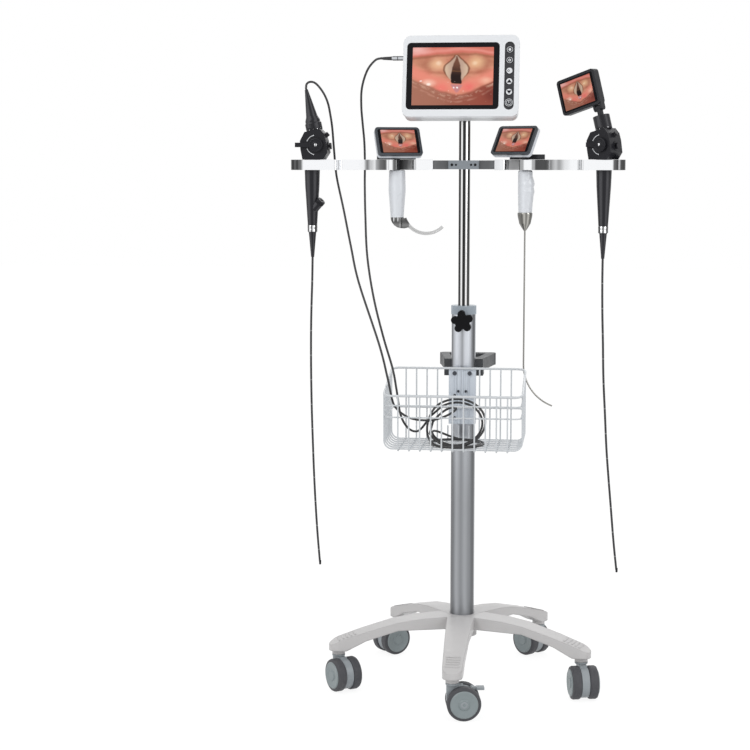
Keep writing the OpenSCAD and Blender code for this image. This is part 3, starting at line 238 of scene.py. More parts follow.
def moulded(name, colour, rough, grain=1400, grain_depth=0.12, spread=0.06, rounding=0.0008, coat=0.0, gloss=0.5):
    """Moulded plastic or enamel: slight cloudiness, fine grain, softened and faintly worn edges."""
    t = Tree(name)
    if rounding:
        t.round_edges(rounding)
    cloud = t.noise(9, 4)
    speck = t.noise(260, 2)
    base = t.mix(cloud, shade(colour, 1 - spread), shade(colour, 1 + spread))
    base = t.mix(t.times(t.step(speck, 0.62, 0.75), 0.12), base, shade(colour, 0.8))
    base = t.mix(t.times(t.edges(), 0.25), base, shade(colour, 1.3 if max(colour) < 0.5 else 0.9))
    t.colour(base)
    t.put("Roughness", t.step(t.noise(40, 3), 0.3, 0.7, rough - 0.05, rough + 0.06))
    t.bump(t.noise(grain, 2), grain_depth, 0.0003)
    t.put("Specular IOR Level", gloss)
    t.put("Coat Weight", coat)
    t.put("Coat Roughness", 0.12)
    return t


def metal(name, colour, rough, stretch, lines=900, depth=0.05, spread=0.1, reflection_bands=None):
    """Drawn, turned or brushed metal: fine lines along the short axis of the stretch, and painted reflections as
    broad light and dark stripes by heading.
    """
    t = Tree(name)
    t.round_edges(0.0005)
    line = t.noise(lines, 3, 0.6, stretch)
    cloud = t.noise(14, 3)
    base = t.mix(line, shade(colour, 1 - spread), shade(colour, 1 + spread * 0.6))
    # Painted reflections: the colour toned by the surface's heading.
    if reflection_bands:
        base = t.toned(base, t.ramp(t.sideways(), reflection_bands))
    t.colour(base)
    t.put("Metallic", 1.0)
    t.put("Roughness", t.plus(t.step(line, 0.25, 0.75, rough - 0.05, rough + 0.05), t.times(cloud, 0.05)))
    t.bump(line, depth, 0.0002)
    return t


# ---- materials
enamel = moulded("leg_enamel", (0.56, 0.55, 0.55), 0.4, 700, 0.12, 0.02, 0.004, 0.1, 0.35)
grey = moulded("grey_plastic", (0.3, 0.33, 0.35), 0.42)
collar_grey = moulded("collar_grey", (0.33, 0.38, 0.43), 0.4)
zinc = metal("zinc_steel", (0.42, 0.43, 0.44), 0.28, (1, 1, 0.3))
wire_white = moulded("basket_wire", (0.6, 0.625, 0.65), 0.35, 1600, 0.12, 0.03, 0)
dark = moulded("dark_plastic", (0.06, 0.063, 0.067), 0.48, 1500, 0.2, 0.12, gloss=0.3)
knob_black = moulded("knob_black", (0.005, 0.005, 0.006), 0.4, 1500, 0.12, 0.15, gloss=0.1)
cast = moulded("dark_cast", (0.05, 0.053, 0.057), 0.36, 900, 0.12, 0.12, gloss=0.4)
housing = moulded("monitor_white", (0.56, 0.575, 0.59), 0.36, 1300, 0.06, 0.015, 0.002, 0.15)
screen_case = moulded("screen_black", (0.026, 0.027, 0.031), 0.42, 1600, 0.12, 0.12, gloss=0.22)
screw_dark = metal("screw_dark", (0.08, 0.085, 0.1), 0.3, (1, 1, 0.3))
scope_black = moulded("scope_black", (0.0135, 0.0135, 0.017), 0.34, 1500, 0.12, 0.12, gloss=0.2)
key_black = moulded("key_plastic", (0.012, 0.013, 0.018), 0.35, 1500, 0.05, 0.1, gloss=0.12)
# Painted reflections: greys by a metal surface's heading, standing in for the light and dark studio mirrored in it;
# for the strip, the pole, the column and the stylet's cone.
STRIP_REFLECTIONS = [(-1.0, 0.1), (-0.72, 0.22), (-0.52, 0.95), (-0.3, 0.35), (-0.1, 1.0), (0.1, 1.0), (0.3, 0.35),
         (0.52, 0.95), (0.72, 0.22), (1.0, 0.1)]
POLE_REFLECTIONS = [(-1.0, 0.65), (-0.97, 0.6), (-0.93, 0.04), (-0.62, 0.04), (-0.5, 0.9), (-0.28, 0.95), (-0.2, 0.03),
        (0.22, 0.04), (0.3, 0.95), (0.5, 0.95), (0.6, 0.08), (0.93, 0.06), (0.97, 0.6), (1.0, 0.65)]
COLUMN_REFLECTIONS = [(-1.0, 0.9), (-0.965, 0.85), (-0.93, 0.34), (-0.8, 0.48), (-0.45, 0.98), (-0.1, 0.72), (0.25, 0.95),
         (0.6, 0.68), (0.85, 0.4), (0.93, 0.32), (0.965, 0.85), (1.0, 0.9)]
CONE_REFLECTIONS = [(-1.0, 0.16), (-0.7, 0.42), (-0.4, 0.2), (-0.05, 0.8), (0.2, 0.3), (0.5, 0.75), (0.8, 0.25), (1.0, 0.16)]
cone_steel = metal("cone_steel", (0.6, 0.59, 0.55), 0.2, (1, 1, 0.05), 500, 0.02, 0.06, reflection_bands=CONE_REFLECTIONS)


def plug_metals():
    """The plug's bright barrel, with painted reflections by how it faces up and down, and its black relief beyond
    it.
    """
    t = metal("plug_metal", (0.62, 0.64, 0.67), 0.24, (0.05, 1, 1))
    x = t.split()[0]
    far = t.step(x, -0.127, -0.1276)
    up = t.split(t.coord.outputs["Normal"])[2]
    # Painted reflection: the barrel lighter and darker by how its surface faces up and down.
    tone = t.ramp(up, [(-1.0, 0.3), (-0.6, 0.35), (-0.2, 0.95), (0.3, 1.0), (0.55, 0.35), (1.0, 0.15)])
    groove = t.band(x, -0.1156, 0.0009, 0.0006)
    barrel = t.mix(groove, t.toned(t.base(), tone), (0.05, 0.05, 0.055))
    t.colour(t.mix(far, barrel, (0.02, 0.02, 0.022)))
    t.put("Metallic", t.minus(1.0, far))
    return t


def strip_metal():
    """Polished strip with painted reflections: bright where it faces the front, dark where the handles and the
    column are mirrored in it, and painted shade on its back runs inside the holders.
    """
    t = metal("bright_strip", (0.93, 0.94, 0.96), 0.1, (0.06, 0.06, 1), 900, 0.01, 0.02)
    x, y = t.split()[:2]
    x = t.minus(x, SHIFT.x)
    # Painted reflections by place along the strip, left and right of the middle.
    left = t.ramp(x, [(-0.345, 0.13), (-0.324, 0.16), (-0.318, 1), (-0.214, 1), (-0.2, 0.95), (-0.1965, 0.55),
                      (-0.193, 0.3), (-0.189, 0.55), (-0.1865, 0.88), (-0.178, 0.88), (-0.174, 0.38),
                      (-0.165, 0.16), (-0.157, 0.11), (-0.155, 0.2), (-0.153, 1), (-0.152, 1), (-0.1505, 0.5),
                      (-0.149, 1), (-0.144, 1), (-0.14, 0.14), (-0.13, 0.18), (-0.108, 0.62), (-0.105, 1),
                      (-0.0995, 1), (-0.0975, 0.5), (-0.0945, 1), (-0.062, 1)], -0.4, 0.0)
    right = t.ramp(x, [(0.062, 0.85), (0.078, 0.95), (0.081, 0.3), (0.085, 0.9), (0.089, 0.62), (0.116, 0.42),
                       (0.119, 1), (0.132, 1), (0.135, 0.4), (0.138, 0.5), (0.141, 0.08), (0.16, 0.09),
                       (0.168, 0.17), (0.175, 0.6), (0.18, 0.6), (0.186, 0.4), (0.2, 0.85), (0.212, 1), (0.2915, 1),
                       (0.2928, 0.15), (0.302, 0.1), (0.3035, 0.3), (0.305, 0.12), (0.33, 0.14), (0.345, 0.12)],
                   0.0, 0.4)
    tone = t.mix(t.step(x, -0.001, 0.001), left, right)
    # Painted reflection by heading: brightest where the strip faces the front.
    flare = t.ramp(t.sideways(), STRIP_REFLECTIONS)
    near = t.step(t.size(x), 0.17, 0.166, 0.55, 0.8)
    flare = t.mix(t.times(near, t.step(t.size(x), 0.315, 0.31)), flare, (1, 1, 1))
    lit = t.toned(t.toned(t.base(), tone), flare)
    # Painted shade on the back runs inside the holders.
    behind = t.times(t.step(y, 0.028, 0.03), t.band(t.size(x), 0.111, 0.025, 0.024))
    shaded = t.ramp(t.size(x), [(0.088, 0.8), (0.104, 0.75), (0.112, 0.55), (0.12, 0.25), (0.132, 0.06)], 0.08,
                    0.14)
    t.colour(t.mix(behind, lit, shaded))
    t.put("Metallic", t.minus(1.0, behind))
    return t


def blade_metal():
    """The blade's steel, its claw at the handle's foot darker, with painted light and shade that changes along its
    height and painted highlights on its notches' sides.
    """
    t = metal("blade_steel", (0.57, 0.57, 0.57), 0.2, (0.1, 1, 0.1), 300, 0.0, 0.04)
    x, _, z = t.split()
    foot = (BAR_LOW - 0.4 - 94) * MM
    claw = t.times(t.step(x, -0.0955, -0.0985), t.step(z, foot + 0.0006, foot))
    # Painted light and shade up the claw.
    lit = t.ramp(z, [(foot - 0.022, 0.13), (foot - 0.016, 0.22), (foot - 0.008, 0.1), (foot, 0.16)], foot - 0.025,
                 foot + 0.002)
    # Painted highlights where the notches' sides face the lamps, by heading.
    notch = t.ramp(t.sideways(), [(-1.0, 0.0), (-0.55, 0.0), (-0.42, 1.0), (-0.25, 0.0), (0.1, 0.0), (0.22, 1.0),
                                  (0.36, 0.0), (1.0, 0.0)])
    notch = t.times(notch, t.step(z, foot - 0.01, foot - 0.005))
    t.colour(t.mix(claw, t.base(), t.mix(notch, lit, (0.8, 0.81, 0.82))))
    return t


def column_metal():
    """Satin tube, with painted reflections as soft light and dark stripes by heading, darkened low down by painted
    shade and brighter on its top half by painted light.
    """
    t = metal("column_aluminium", (0.46, 0.475, 0.5), 0.3, (1, 1, 0.008), 700, 0.03, 0.04, reflection_bands=COLUMN_REFLECTIONS)
    z = t.split()[2]
    # Painted reflections and painted light for the tube's top half, by heading.
    top_reflections = t.ramp(t.sideways(), [(-1.0, 1.15), (-0.96, 1.1), (-0.93, 0.9), (-0.87, 0.9), (-0.75, 1.9),
                                  (-0.5, 1.65), (-0.35, 1.5), (-0.1, 1.15), (0.0, 0.97), (0.1, 1.35), (0.3, 1.5),
                                  (0.5, 1.65), (0.65, 1.5), (0.75, 1.08), (0.9, 0.6), (0.93, 0.6), (0.965, 1.1),
                                  (1.0, 1.15)], tint=(1.0, 1.005, 1.02))
    # Painted shade below 0.35 m, the painted top-half light above 0.72 m, blended between.
    t.colour(t.mix(t.step(z, 0.35, 0.72), t.toned(t.base(), (0.8, 0.8, 0.8)), t.toned(t.base(), top_reflections)))
    return t


def clamp_paint():
    """The clamp's slate block and its darker arms, with painted shade in its holes."""
    t = moulded("clamp_slate", (0.235, 0.26, 0.285), 0.38, 900, 0.1, 0.05, gloss=0.4)
    x = t.split()[0]
    away = t.size(t.minus(x, 0.013))
    arm = t.ramp(away, [(0.0, 0.1), (0.031, 0.095), (0.045, 0.105), (0.062, 0.14)], 0.0, 0.1, (0.97, 1.0, 1.04))
    painted = t.mix(t.step(away, 0.0302, 0.0306), t.base(), arm)
    z = t.split()[2]
    up = t.minus(z, (BAR_LOW + BAR_H / 2) * MM)
    # Painted shade: near-black discs where the holes' shaded insides are.
    for hole, radius in ((0.023, 0.0029), (0.015, 0.0023)):
        apart = t.reach(t.minus(away, hole), up)
        painted = t.mix(t.step(apart, radius, radius - 0.0003), painted, (0.012, 0.012, 0.014))
    t.colour(painted)
    return t


def grip_plastic():
    """The flexible scopes' black plastic, with two soft painted highlights along the round grips, nuts and boots."""
    t = moulded("scope_grip", (0.0135, 0.0135, 0.017), 0.34, 1500, 0.12, 0.12, gloss=0.2)
    z = t.split()[2]
    # Painted highlights: two pale stripes by heading on the turned parts.
    highlight_streak = t.ramp(t.sideways(), [(-1.0, 0.0), (-0.72, 0.0), (-0.56, 1.0), (-0.34, 0.9), (-0.1, 0.0), (0.22, 0.0),
                                   (0.42, 0.8), (0.6, 0.7), (0.74, 0.0), (1.0, 0.0)])
    turned_part = t.math("MAXIMUM", t.step(z, 1.0612, 1.0604), t.step(z, 1.1222, 1.1232))
    t.colour(t.mix(t.times(turned_part, t.times(highlight_streak, 0.8)), t.base(), (0.085, 0.085, 0.092)))
    return t


def handle_plastic():
    """The handhelds' white plastic, with painted shade toward its sides."""
    t = moulded("handle_white", (0.78, 0.8, 0.84), 0.3, 1200, 0.05, 0.02, 0.0015, 0.3)
    # Painted shade by heading, darkest at the sides.
    side_shade = t.ramp(t.sideways(), [(-1.0, 0.74), (-0.85, 0.84), (-0.55, 0.93), (-0.25, 1.0), (0.1, 0.92),
                                      (0.55, 0.93), (0.85, 0.8), (1.0, 0.7)], tint=(0.985, 0.995, 1.0))
    t.colour(t.toned(t.base(), side_shade))
    return t


def bracket_paint():
    """The basket's bracket, its pressed rib lines drawn in painted highlight and painted shade."""
    t = moulded("bracket_paint", (0.6, 0.65, 0.715), 0.34, 900, 0.08, 0.03)
    x = t.split()[0]
    x = t.minus(x, SHIFT.x)
    # Painted highlight and shade lines where the pressed rib lines catch and lose the light.
    rib_shading = t.ramp(x, [(-0.01, 1), (-0.0088, 0.78), (-0.0078, 1.12), (-0.006, 1), (-0.0028, 1), (-0.0014, 0.7),
                      (-0.0002, 1.15), (0.0014, 0.95), (0.005, 1), (0.0062, 0.75), (0.0074, 1.1), (0.009, 1),
                      (0.012, 1), (0.013, 0.85), (0.0145, 1)], -0.03, 0.03)
    t.colour(t.toned(t.base(), rib_shading))
    return t


bracket_blue = bracket_paint()
grip_black = grip_plastic()
handle_white = handle_plastic()
plug_steel = plug_metals()
chrome_strip = strip_metal()
blade_steel = blade_metal()
column = column_metal()
clamp_slate = clamp_paint()
pole_metal = metal("pole_steel", (0.92, 0.92, 0.92), 0.14, (1, 1, 0.01), 600, 0.015, 0.04, reflection_bands=POLE_REFLECTIONS)


def jacket(name, colour, rough=0.42, ticks=None):
    """A cable's jacket with its faint rings, and white depth ticks where a spacing in metres is given."""
    t = Tree(name)
    along = t.node("Attribute", attribute_name="along").outputs["Fac"]
    cloud = t.noise(30, 3)
    base = t.mix(cloud, shade(colour, 0.8), shade(colour, 1.25))
    if ticks:
        part = t.math("FRACT", t.math("DIVIDE", along, ticks))
        mark = t.window(part, 0.0, 0.004, 0.028, 0.024)
        base = t.mix(t.times(mark, 0.7), base, (0.42, 0.43, 0.43))
    t.colour(base)
    t.put("Roughness", t.step(t.noise(90, 2), 0.3, 0.7, rough - 0.06, rough + 0.06))
    ring = t.math("SINE", t.times(along, TURN / 0.0016))
    t.bump(ring, 0.04, 0.0001)
    t.bump(t.noise(2500, 2), 0.05, 0.0001)
    return t.mat


cable_black = jacket("cable_black", (0.022, 0.022, 0.024))
tube_black = jacket("tube_black", (0.02, 0.02, 0.022), 0.38, 0.05)


def glass_black():
    t = Tree("screen_border")
    smear = t.noise(25, 4)
    t.colour(t.mix(smear, (0.004, 0.004, 0.005), (0.007, 0.006, 0.008)))
    t.put("Specular IOR Level", 0.12)
    t.put("Roughness", t.step(smear, 0.35, 0.7, 0.16, 0.24))
    t.bump(t.noise(8, 2), 0.02, 0.0005)
    return t.mat


border = glass_black()


def picture_material(name, seed, glow=0.78):
    """A generic airway view: soft blobs, arcs and folds on the picture's own coordinates, bent by noise."""
    t = Tree(name)
    uv = t.node("UVMap").outputs[0]
    warp = t.node("TexNoise", {"Scale": 3.2, "Detail": 3.0, "Vector": t.scaled((1, 1, 1), (seed, seed, 0), uv)})
    bend = t.vector("SUBTRACT", warp.outputs["Color"], (0.5, 0.5, 0.5))
    moved = t.vector("ADD", uv, t.vector("MULTIPLY", bend, (0.1, 0.1, 0.1)))
    x, y = t.split(moved)[:2]
    u = t.minus(x, 0.545)
    au = t.size(u)

    def over(amount, colour, share=1.0):
        nonlocal base
        base = t.mix(t.times(amount, share), base, colour)

    def spot(cu, cv, ru, rv, colour, share, soft=1.0):
        off = t.scaled((1 / ru, 1 / rv, 0), (-cu / ru, -cv / rv, 0), source=moved)
        over(t.step(t.length(off), 1.0, 1.0 - soft), colour, share)

    tissue = t.noise(4.5, 4, 0.55, source=moved)
    base = t.mix(t.step(tissue, 0.3, 0.7), (0.5, 0.17, 0.105), (0.66, 0.3, 0.19))
    # Upper folds: a red roof, its dark crease and a pale corner
    crease_v = t.minus(0.88, t.times(t.times(u, u), 0.28))
    above = t.minus(y, crease_v)
    over(t.step(above, -0.02, 0.05), (0.62, 0.155, 0.115), 0.9)
    over(t.band(above, 0.085, 0.05), (0.8, 0.3, 0.25), 0.7)
    spot(0.06, 0.96, 0.22, 0.12, (0.9, 0.52, 0.48), 0.8)
    over(t.band(above, 0.0, 0.045), (0.26, 0.085, 0.04), 0.6)
    # Sand-coloured bulges either side, brown behind them
    for cu in (0.18, 0.9):
        spot(cu, 0.72, 0.2, 0.17, (0.4, 0.155, 0.09), 0.65)
    spot(0.31, 0.71, 0.17, 0.16, (0.8, 0.46, 0.27), 0.95)
    spot(0.78, 0.73, 0.17, 0.16, (0.8, 0.48, 0.27), 0.95)
    spot(0.33, 0.73, 0.06, 0.06, (0.92, 0.68, 0.5), 0.7)
    spot(0.76, 0.72, 0.05, 0.05, (0.92, 0.7, 0.5), 0.6)
    over(t.band(y, t.plus(0.53, t.times(au, 0.12)), 0.05), (0.38, 0.11, 0.06), 0.45)
    # The bright lower ridge, which sinks toward the middle
    ridge_v = t.plus(0.2, t.times(t.math("POWER", au, 1.25), 0.62))
    ridge = t.minus(y, ridge_v)
    over(t.band(ridge, 0.09, 0.17, 0.03), (0.8, 0.255, 0.185), 0.92)
    spot(0.36, 0.28, 0.13, 0.13, (0.84, 0.19, 0.155), 0.85)
    spot(0.7, 0.31, 0.13, 0.13, (0.82, 0.16, 0.14), 0.85)
    spot(0.2, 0.38, 0.12, 0.11, (0.92, 0.56, 0.44), 0.9)
    spot(0.9, 0.42, 0.12, 0.1, (0.9, 0.5, 0.36), 0.8)
    # The floor below the ridge: brown to the left and dark red to the right, with a pale wet line
    below = t.step(ridge, -0.005, -0.06)
    over(below, t.mix(t.step(x, 0.1, 0.9), (0.36, 0.145, 0.095), (0.27, 0.055, 0.035)), 0.95)
    broken = t.step(t.noise(9, 3, 0.6, source=uv), 0.4, 0.62)
    over(t.times(t.band(ridge, -0.085, 0.04), broken), (0.7, 0.42, 0.31), 0.65)
    over(t.times(t.band(ridge, -0.16, 0.03), broken), (0.55, 0.26, 0.19), 0.5)
    spot(0.03, 0.08, 0.25, 0.18, (0.38, 0.15, 0.1), 0.7)
    spot(0.97, 0.18, 0.14, 0.2, (0.14, 0.018, 0.012), 0.6)
    # The pale cords, outlined, and the opening between them
    leaf = t.window(y, 0.28, 0.6, 0.9, 0.62)
    half = t.plus(t.times(leaf, 0.142), 0.01)
    inside = t.times(t.step(t.minus(au, half), 0.012, -0.012), t.window(y, 0.36, 0.42, 0.875, 0.855))
    edge = t.times(t.band(au, t.plus(half, 0.006), 0.022, 0.004), t.window(y, 0.42, 0.58, 0.885, 0.86))
    over(inside, t.mix(t.step(au, 0.05, 0.14), (0.5, 0.34, 0.26), (0.64, 0.46, 0.33)))
    over(edge, (0.13, 0.045, 0.018), 0.7)
    slit_upper = t.slope(y, 0.54, 0.84, 0.072, 0.01)
    slit = t.math("MINIMUM", slit_upper, t.slope(y, 0.36, 0.42, 0.058, 0.076))
    gap = t.times(t.step(t.minus(au, slit), 0.009, -0.009), t.window(y, 0.355, 0.385, 0.86, 0.84))
    depth = t.mix(t.step(y, 0.5, 0.78), (0.012, 0.002, 0.001), (0.16, 0.06, 0.035))
    bar = t.band(y, 0.6, 0.016, 0.004)
    over(gap, t.mix(t.times(bar, 0.5), depth, (0.2, 0.085, 0.03)))
    # The notch under the opening, with wet points
    notch = t.times(t.step(t.minus(au, t.slope(y, 0.2, 0.38, 0.0, 0.085)), 0.02, -0.01),
                    t.window(y, 0.37, 0.34, 0.18, 0.25))
    over(notch, (0.5, 0.22, 0.24), 0.85)
    spot(0.51, 0.3, 0.016, 0.02, (0.95, 0.85, 0.88), 0.9, 0.7)
    spot(0.555, 0.305, 0.018, 0.022, (1.0, 0.95, 0.95), 0.95, 0.7)
    spot(0.21, 0.355, 0.035, 0.035, (0.98, 0.86, 0.78), 0.9, 0.8)
    spot(0.11, 0.42, 0.02, 0.02, (0.98, 0.84, 0.8), 0.8, 0.8)
    shine = t.times(t.step(t.noise(26, 2, 0.4, source=uv), 0.68, 0.8), t.step(y, 0.5, 0.35))
    over(shine, (0.93, 0.72, 0.6), 0.55)
    t.colour(t.toned(base, (0.25, 0.25, 0.25)))
    t.put("Roughness", 0.14)
    t.put("Specular IOR Level", 0.2)
    t.put("Emission Color", base)
    t.put("Emission Strength", glow)
    return t.mat


# ---- mesh helpers
def add_object(mesh, material, body):
    """An object that is named after its mesh and rides on a body, where one is given."""
    dress_mesh(mesh, material)
    obj = bpy.data.objects.new(mesh.name, mesh)
    collection.objects.link(obj)
    if body:
        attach(obj, body)
    return obj


def dress_mesh(mesh, material):
    mesh.materials.clear()
    mesh.materials.append(material.mat if isinstance(material, Tree) else material)


def made(bm, name, matrix=None, angle=35, recalc=True):
    """The finished mesh, moved by a matrix and smoothed up to an angle."""
    if recalc:
        bmesh.ops.recalc_face_normals(bm, faces=bm.faces)
    mesh = bpy.data.meshes.new(name)
    bm.to_mesh(mesh)
    bm.free()
    if matrix is not None:
        mesh.transform(matrix)
    for p in mesh.polygons:
        p.use_smooth = True
    mesh.set_sharp_from_angle(angle=math.radians(angle))
    return mesh


def loft(bm, rings):
    """Joins closed rings by quads and closes both ends."""
    for a, b in zip(rings, rings[1:]):
        for k in range(len(a)):
            j = (k + 1) % len(a)
            bm.faces.new((a[k], a[j], b[j], b[k]))
    bm.faces.new(list(reversed(rings[0])))
    bm.faces.new(rings[-1])


def curve_point(p, i, t):
    a, b, c, d = p[max(i - 1, 0)], p[i], p[i + 1], p[min(i + 2, len(p) - 1)]
    return (2 * b + (c - a) * t + (2 * a - 5 * b + 4 * c - d) * t * t + (3 * b - a - 3 * c + d) * t ** 3) / 2


def curve(p):
    """A smooth way through points, in six steps from each to the next."""
    p = [Vector(q) for q in p]
    return [curve_point(p, i, s / 6) for i in range(len(p) - 1) for s in range(6)] + [p[-1]]


def path_length(path):
    return sum((b - a).length for a, b in zip(path, path[1:]))


def tube_mesh(name, path, radius, sides, start=0.0):
    """A smooth tube along a path in metres; its attribute along is the distance from the start."""
    bm = bmesh.new()
    layer = bm.verts.layers.float.new("along")
    way = (path[1] - path[0]).normalized()
    side = way.orthogonal().normalized()
    rings, run = [], start
    for i, p in enumerate(path):
        ahead = (path[min(i + 1, len(path) - 1)] - path[max(i - 1, 0)]).normalized()
        side = (side - ahead * side.dot(ahead)).normalized()
        up = ahead.cross(side)
        if i:
            run += (p - path[i - 1]).length
        r = radius(run) if callable(radius) else radius
        ring = []
        for k in range(sides):
            a = 2 * math.pi * k / sides
            v = bm.verts.new(p + r * (math.cos(a) * side + math.sin(a) * up))
            v[layer] = run
            ring.append(v)
        rings.append(ring)
    loft(bm, rings)
    return made(bm, name, angle=60, recalc=False)


def turned(name, profile, sides, matrix):
    """A turned piece about local Z from (radius, height) points in millimetres, placed by a matrix in metres."""
    bm = bmesh.new()
    rings = []
    for r, z in profile:
        spokes = [2 * math.pi * k / sides for k in range(sides if r else 1)]
        rings.append([bm.verts.new((r / 1000 * math.cos(a), r / 1000 * math.sin(a), z / 1000)) for a in spokes])
    for a, b in zip(rings, rings[1:]):
        for k in range(sides):
            j = (k + 1) % sides
            corners = a[k % len(a)], a[j % len(a)], b[j % len(b)], b[k % len(b)]
            bm.faces.new(list(dict.fromkeys(corners)))   # a point on the axis is there twice
    return made(bm, name, matrix)


def rounded_outline(w, h, r, steps):
    pts = []
    cx, cy = w / 2 - r, h / 2 - r
    for x, y, a0 in ((cx, cy, 0), (-cx, cy, 90), (-cx, -cy, 180), (cx, -cy, 270)):
        for k in range(steps + 1):
            a = math.radians(a0 + 90 * k / steps)
            pts.append((x + r * math.cos(a), y + r * math.sin(a)))
    return pts


def plate(name, outline, layers, matrix):
    """A plate from an outline in mm; layers are (inset, height) pairs that shrink it toward its middle."""
    bm = bmesh.new()
    uv = bm.loops.layers.uv.new("UVMap")
    xs, ys = [p[0] for p in outline], [p[1] for p in outline]
    w, h = max(xs) - min(xs), max(ys) - min(ys)
    rings = []
    for inset, z in layers:
        kx, ky = 1 - 2 * inset / w, 1 - 2 * inset / h
        rings.append([bm.verts.new((x * kx / 1000, y * ky / 1000, z / 1000)) for x, y in outline])
    loft(bm, rings)
    for f in bm.faces:
        for loop in f.loops:
            c = loop.vert.co
            loop[uv].uv = (c.x * 1000 / w + 0.5, c.y * 1000 / h + 0.5)
    return made(bm, name, matrix)


def move(x, y, z):
    return Matrix.Translation(Vector((x, y, z)) * MM)


def spin(degrees, axis):
    return Matrix.Rotation(math.radians(degrees), 4, axis)


def frame_of(origin, x_axis, y_axis):
    """A matrix whose local X and Y point along the given ways, in metres."""
    x = Vector(x_axis).normalized()
    z = x.cross(Vector(y_axis)).normalized()
    y = z.cross(x)
    m = Matrix((x, y, z)).transposed().to_4x4()
    m.translation = origin
    return m


# ---- cords
SCOPE_A, SCOPE_B = (-304, -11), (274.5, -11)
LARY, STYLET = (-136, 13.4), (120, 11)
CABLE_D = 4.4
SCOPE_TURN, SCOPE_LEAN, CONTROL_SHIFT = (0, -32), (11.5, 15.5), (6, 0)
coil_in, coil_in_way = Vector((-60, -130, 556)), Vector((1, 0, 0))
coil_out, coil_out_way = Vector((-60, -100, 556)), Vector((-5, -3, -8)).normalized()
scope_route = [(-315, -11, 1209), (-309, -10, 1214), (-300, -7, 1213), (-291, -4, 1205), (-281, 0, 1190),
               (-274, 4, 1172), (-270, 8, 1150), (-267, 13, 1125), (-265, 19, 1090), (-262, 21, 1050),
               (-258, 20, 1020), (-243, 6, 960), (-224, -30, 890), (-203, -70, 820), (-154, -140, 704),
               (-136, -150, 638), (-127, -145, 594), (-118, -138, 577), (-100, -134, 563), (-80, -131, 557)]
monitor_route = [(-163, -36, 1258), (-175, -34, 1254), (-192, -22, 1235), (-205, -2, 1202), (-208, 12, 1166),
                 (-206, 19, 1130), (-203, 21, 1094), (-202, 21, 1050), (-202, 19, 1010), (-199, 4, 950),
                 (-190, -38, 870), (-172, -80, 790), (-150, -104, 715), (-131, -112, 655), (-123, -114, 614),
                 (-115, -115, 565), (-102, -114, 540), (-87, -111, 531), (-75, -107, 536)]
NUT_UP, NUT_H, BOOT = 58, 28, 54.15
RING_H, GRIP_L = 14, 130
nut_lean = math.radians(SCOPE_LEAN[0])
connector_way = Vector((-math.sin(nut_lean), 0, math.cos(nut_lean)))
nut_foot = Vector((SCOPE_A[0] + CONTROL_SHIFT[0] - 1, SCOPE_A[1], BAR_TOP + NUT_UP))
connector_tip = nut_foot + (NUT_H + BOOT) * connector_way
MONITOR_AXIS, MONITOR_HALF, TILT = (-4, -8, 1216), 113, math.radians(15)
PLUG_SUNK, PLUG_BARREL, PLUG_RELIEF = 2, 24, 20
py, pz = -38, 33
plug_tip = Vector((MONITOR_AXIS[0] - MONITOR_HALF + PLUG_SUNK - PLUG_BARREL - PLUG_RELIEF,
                   MONITOR_AXIS[1] + py * math.cos(TILT) + pz * math.sin(TILT),
                   MONITOR_AXIS[2] - py * math.sin(TILT) + pz * math.cos(TILT)))
coil_lead = [(-48, -129, 557), (-32, -121, 561), (-17, -108, 567), (-8, -95, 573), (-9, -86, 575), (-19, -82, 575),
             (-33, -87, 568), (-44, -100, 559), (-52, -115, 550)]


COIL_R, COIL_X, COIL_FRONT, COIL_FLOOR = 57, -5, -180, 507 + 1.5 + CABLE_D / 2 + 0.15


def ease(a, b, x):
    """A smooth rise from 0 at a to 1 at b."""
    t = min(max((x - a) / (b - a), 0), 1)
    return t * t * (3 - 2 * t)


def coil_point(n):
    """A point of the coil after n turns: it lies on the basket's floor and leans up its back at both ends."""
    r = COIL_R - 5 * (ease(1.1, 1.8, n) + ease(1.8, 2.6, n) - ease(3.1, 3.7, n))
    tip = 1 - ease(0.85, 1.25, n) + ease(2.7, 3.25, n)
    a = 2 * math.pi * n + math.pi
    back = r * (1 + math.sin(a))
    lean = math.radians(46 * tip)
    front = COIL_FRONT + (16 + 5 * ease(2.7, 3.2, n)) * tip + COIL_R - r
    return Vector((COIL_X + r * math.cos(a), front + back * math.cos(lean), COIL_FLOOR + back * math.sin(lean)))


def placed(points):
    return [at(*p) for p in points]


def stretch(first, first_way, points, last, last_way):
    """The CAD's own route, with more points on its curve and its two ends straight for one diameter."""
    whole = curve([first, *points, last])
    start, end = Vector(first) + first_way * CABLE_D, Vector(last) - last_way * CABLE_D
    return placed([first, start, *whole[2:-2], end, last])


def cut(path, height):
    """The first place where a path passes below a height, as an index."""
    return next(i for i, p in enumerate(path) if p.z < height)


def cable_piece(name, path, run, body=None, replaces=()):
    """A stretch of the video cable; run is how far along the cable its rings start."""
    obj = add_object(tube_mesh(name, path, CABLE_D / 2 * MM, 14, run), cable_black, body)
    if replaces:
        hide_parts(*replaces)
    return obj


FIRST_TURN, LAST_TURN, TURN_STEPS = 0.08, 3.86, 48
coil_turns = [FIRST_TURN + i / TURN_STEPS for i in range(int(round((LAST_TURN - FIRST_TURN) * TURN_STEPS)) + 1)]
coil_path = [coil_in, coil_in + coil_in_way * CABLE_D, *curve([coil_in, *coil_lead])[3:-1],
             *[coil_point(n) for n in coil_turns], coil_out - coil_out_way * CABLE_D, coil_out]
coil_path = placed(coil_path)
scope_path = stretch(connector_tip, connector_way, scope_route, coil_in, coil_in_way)
monitor_path = stretch(plug_tip, Vector((-1, 0, 0)), monitor_route, coil_out, -coil_out_way)

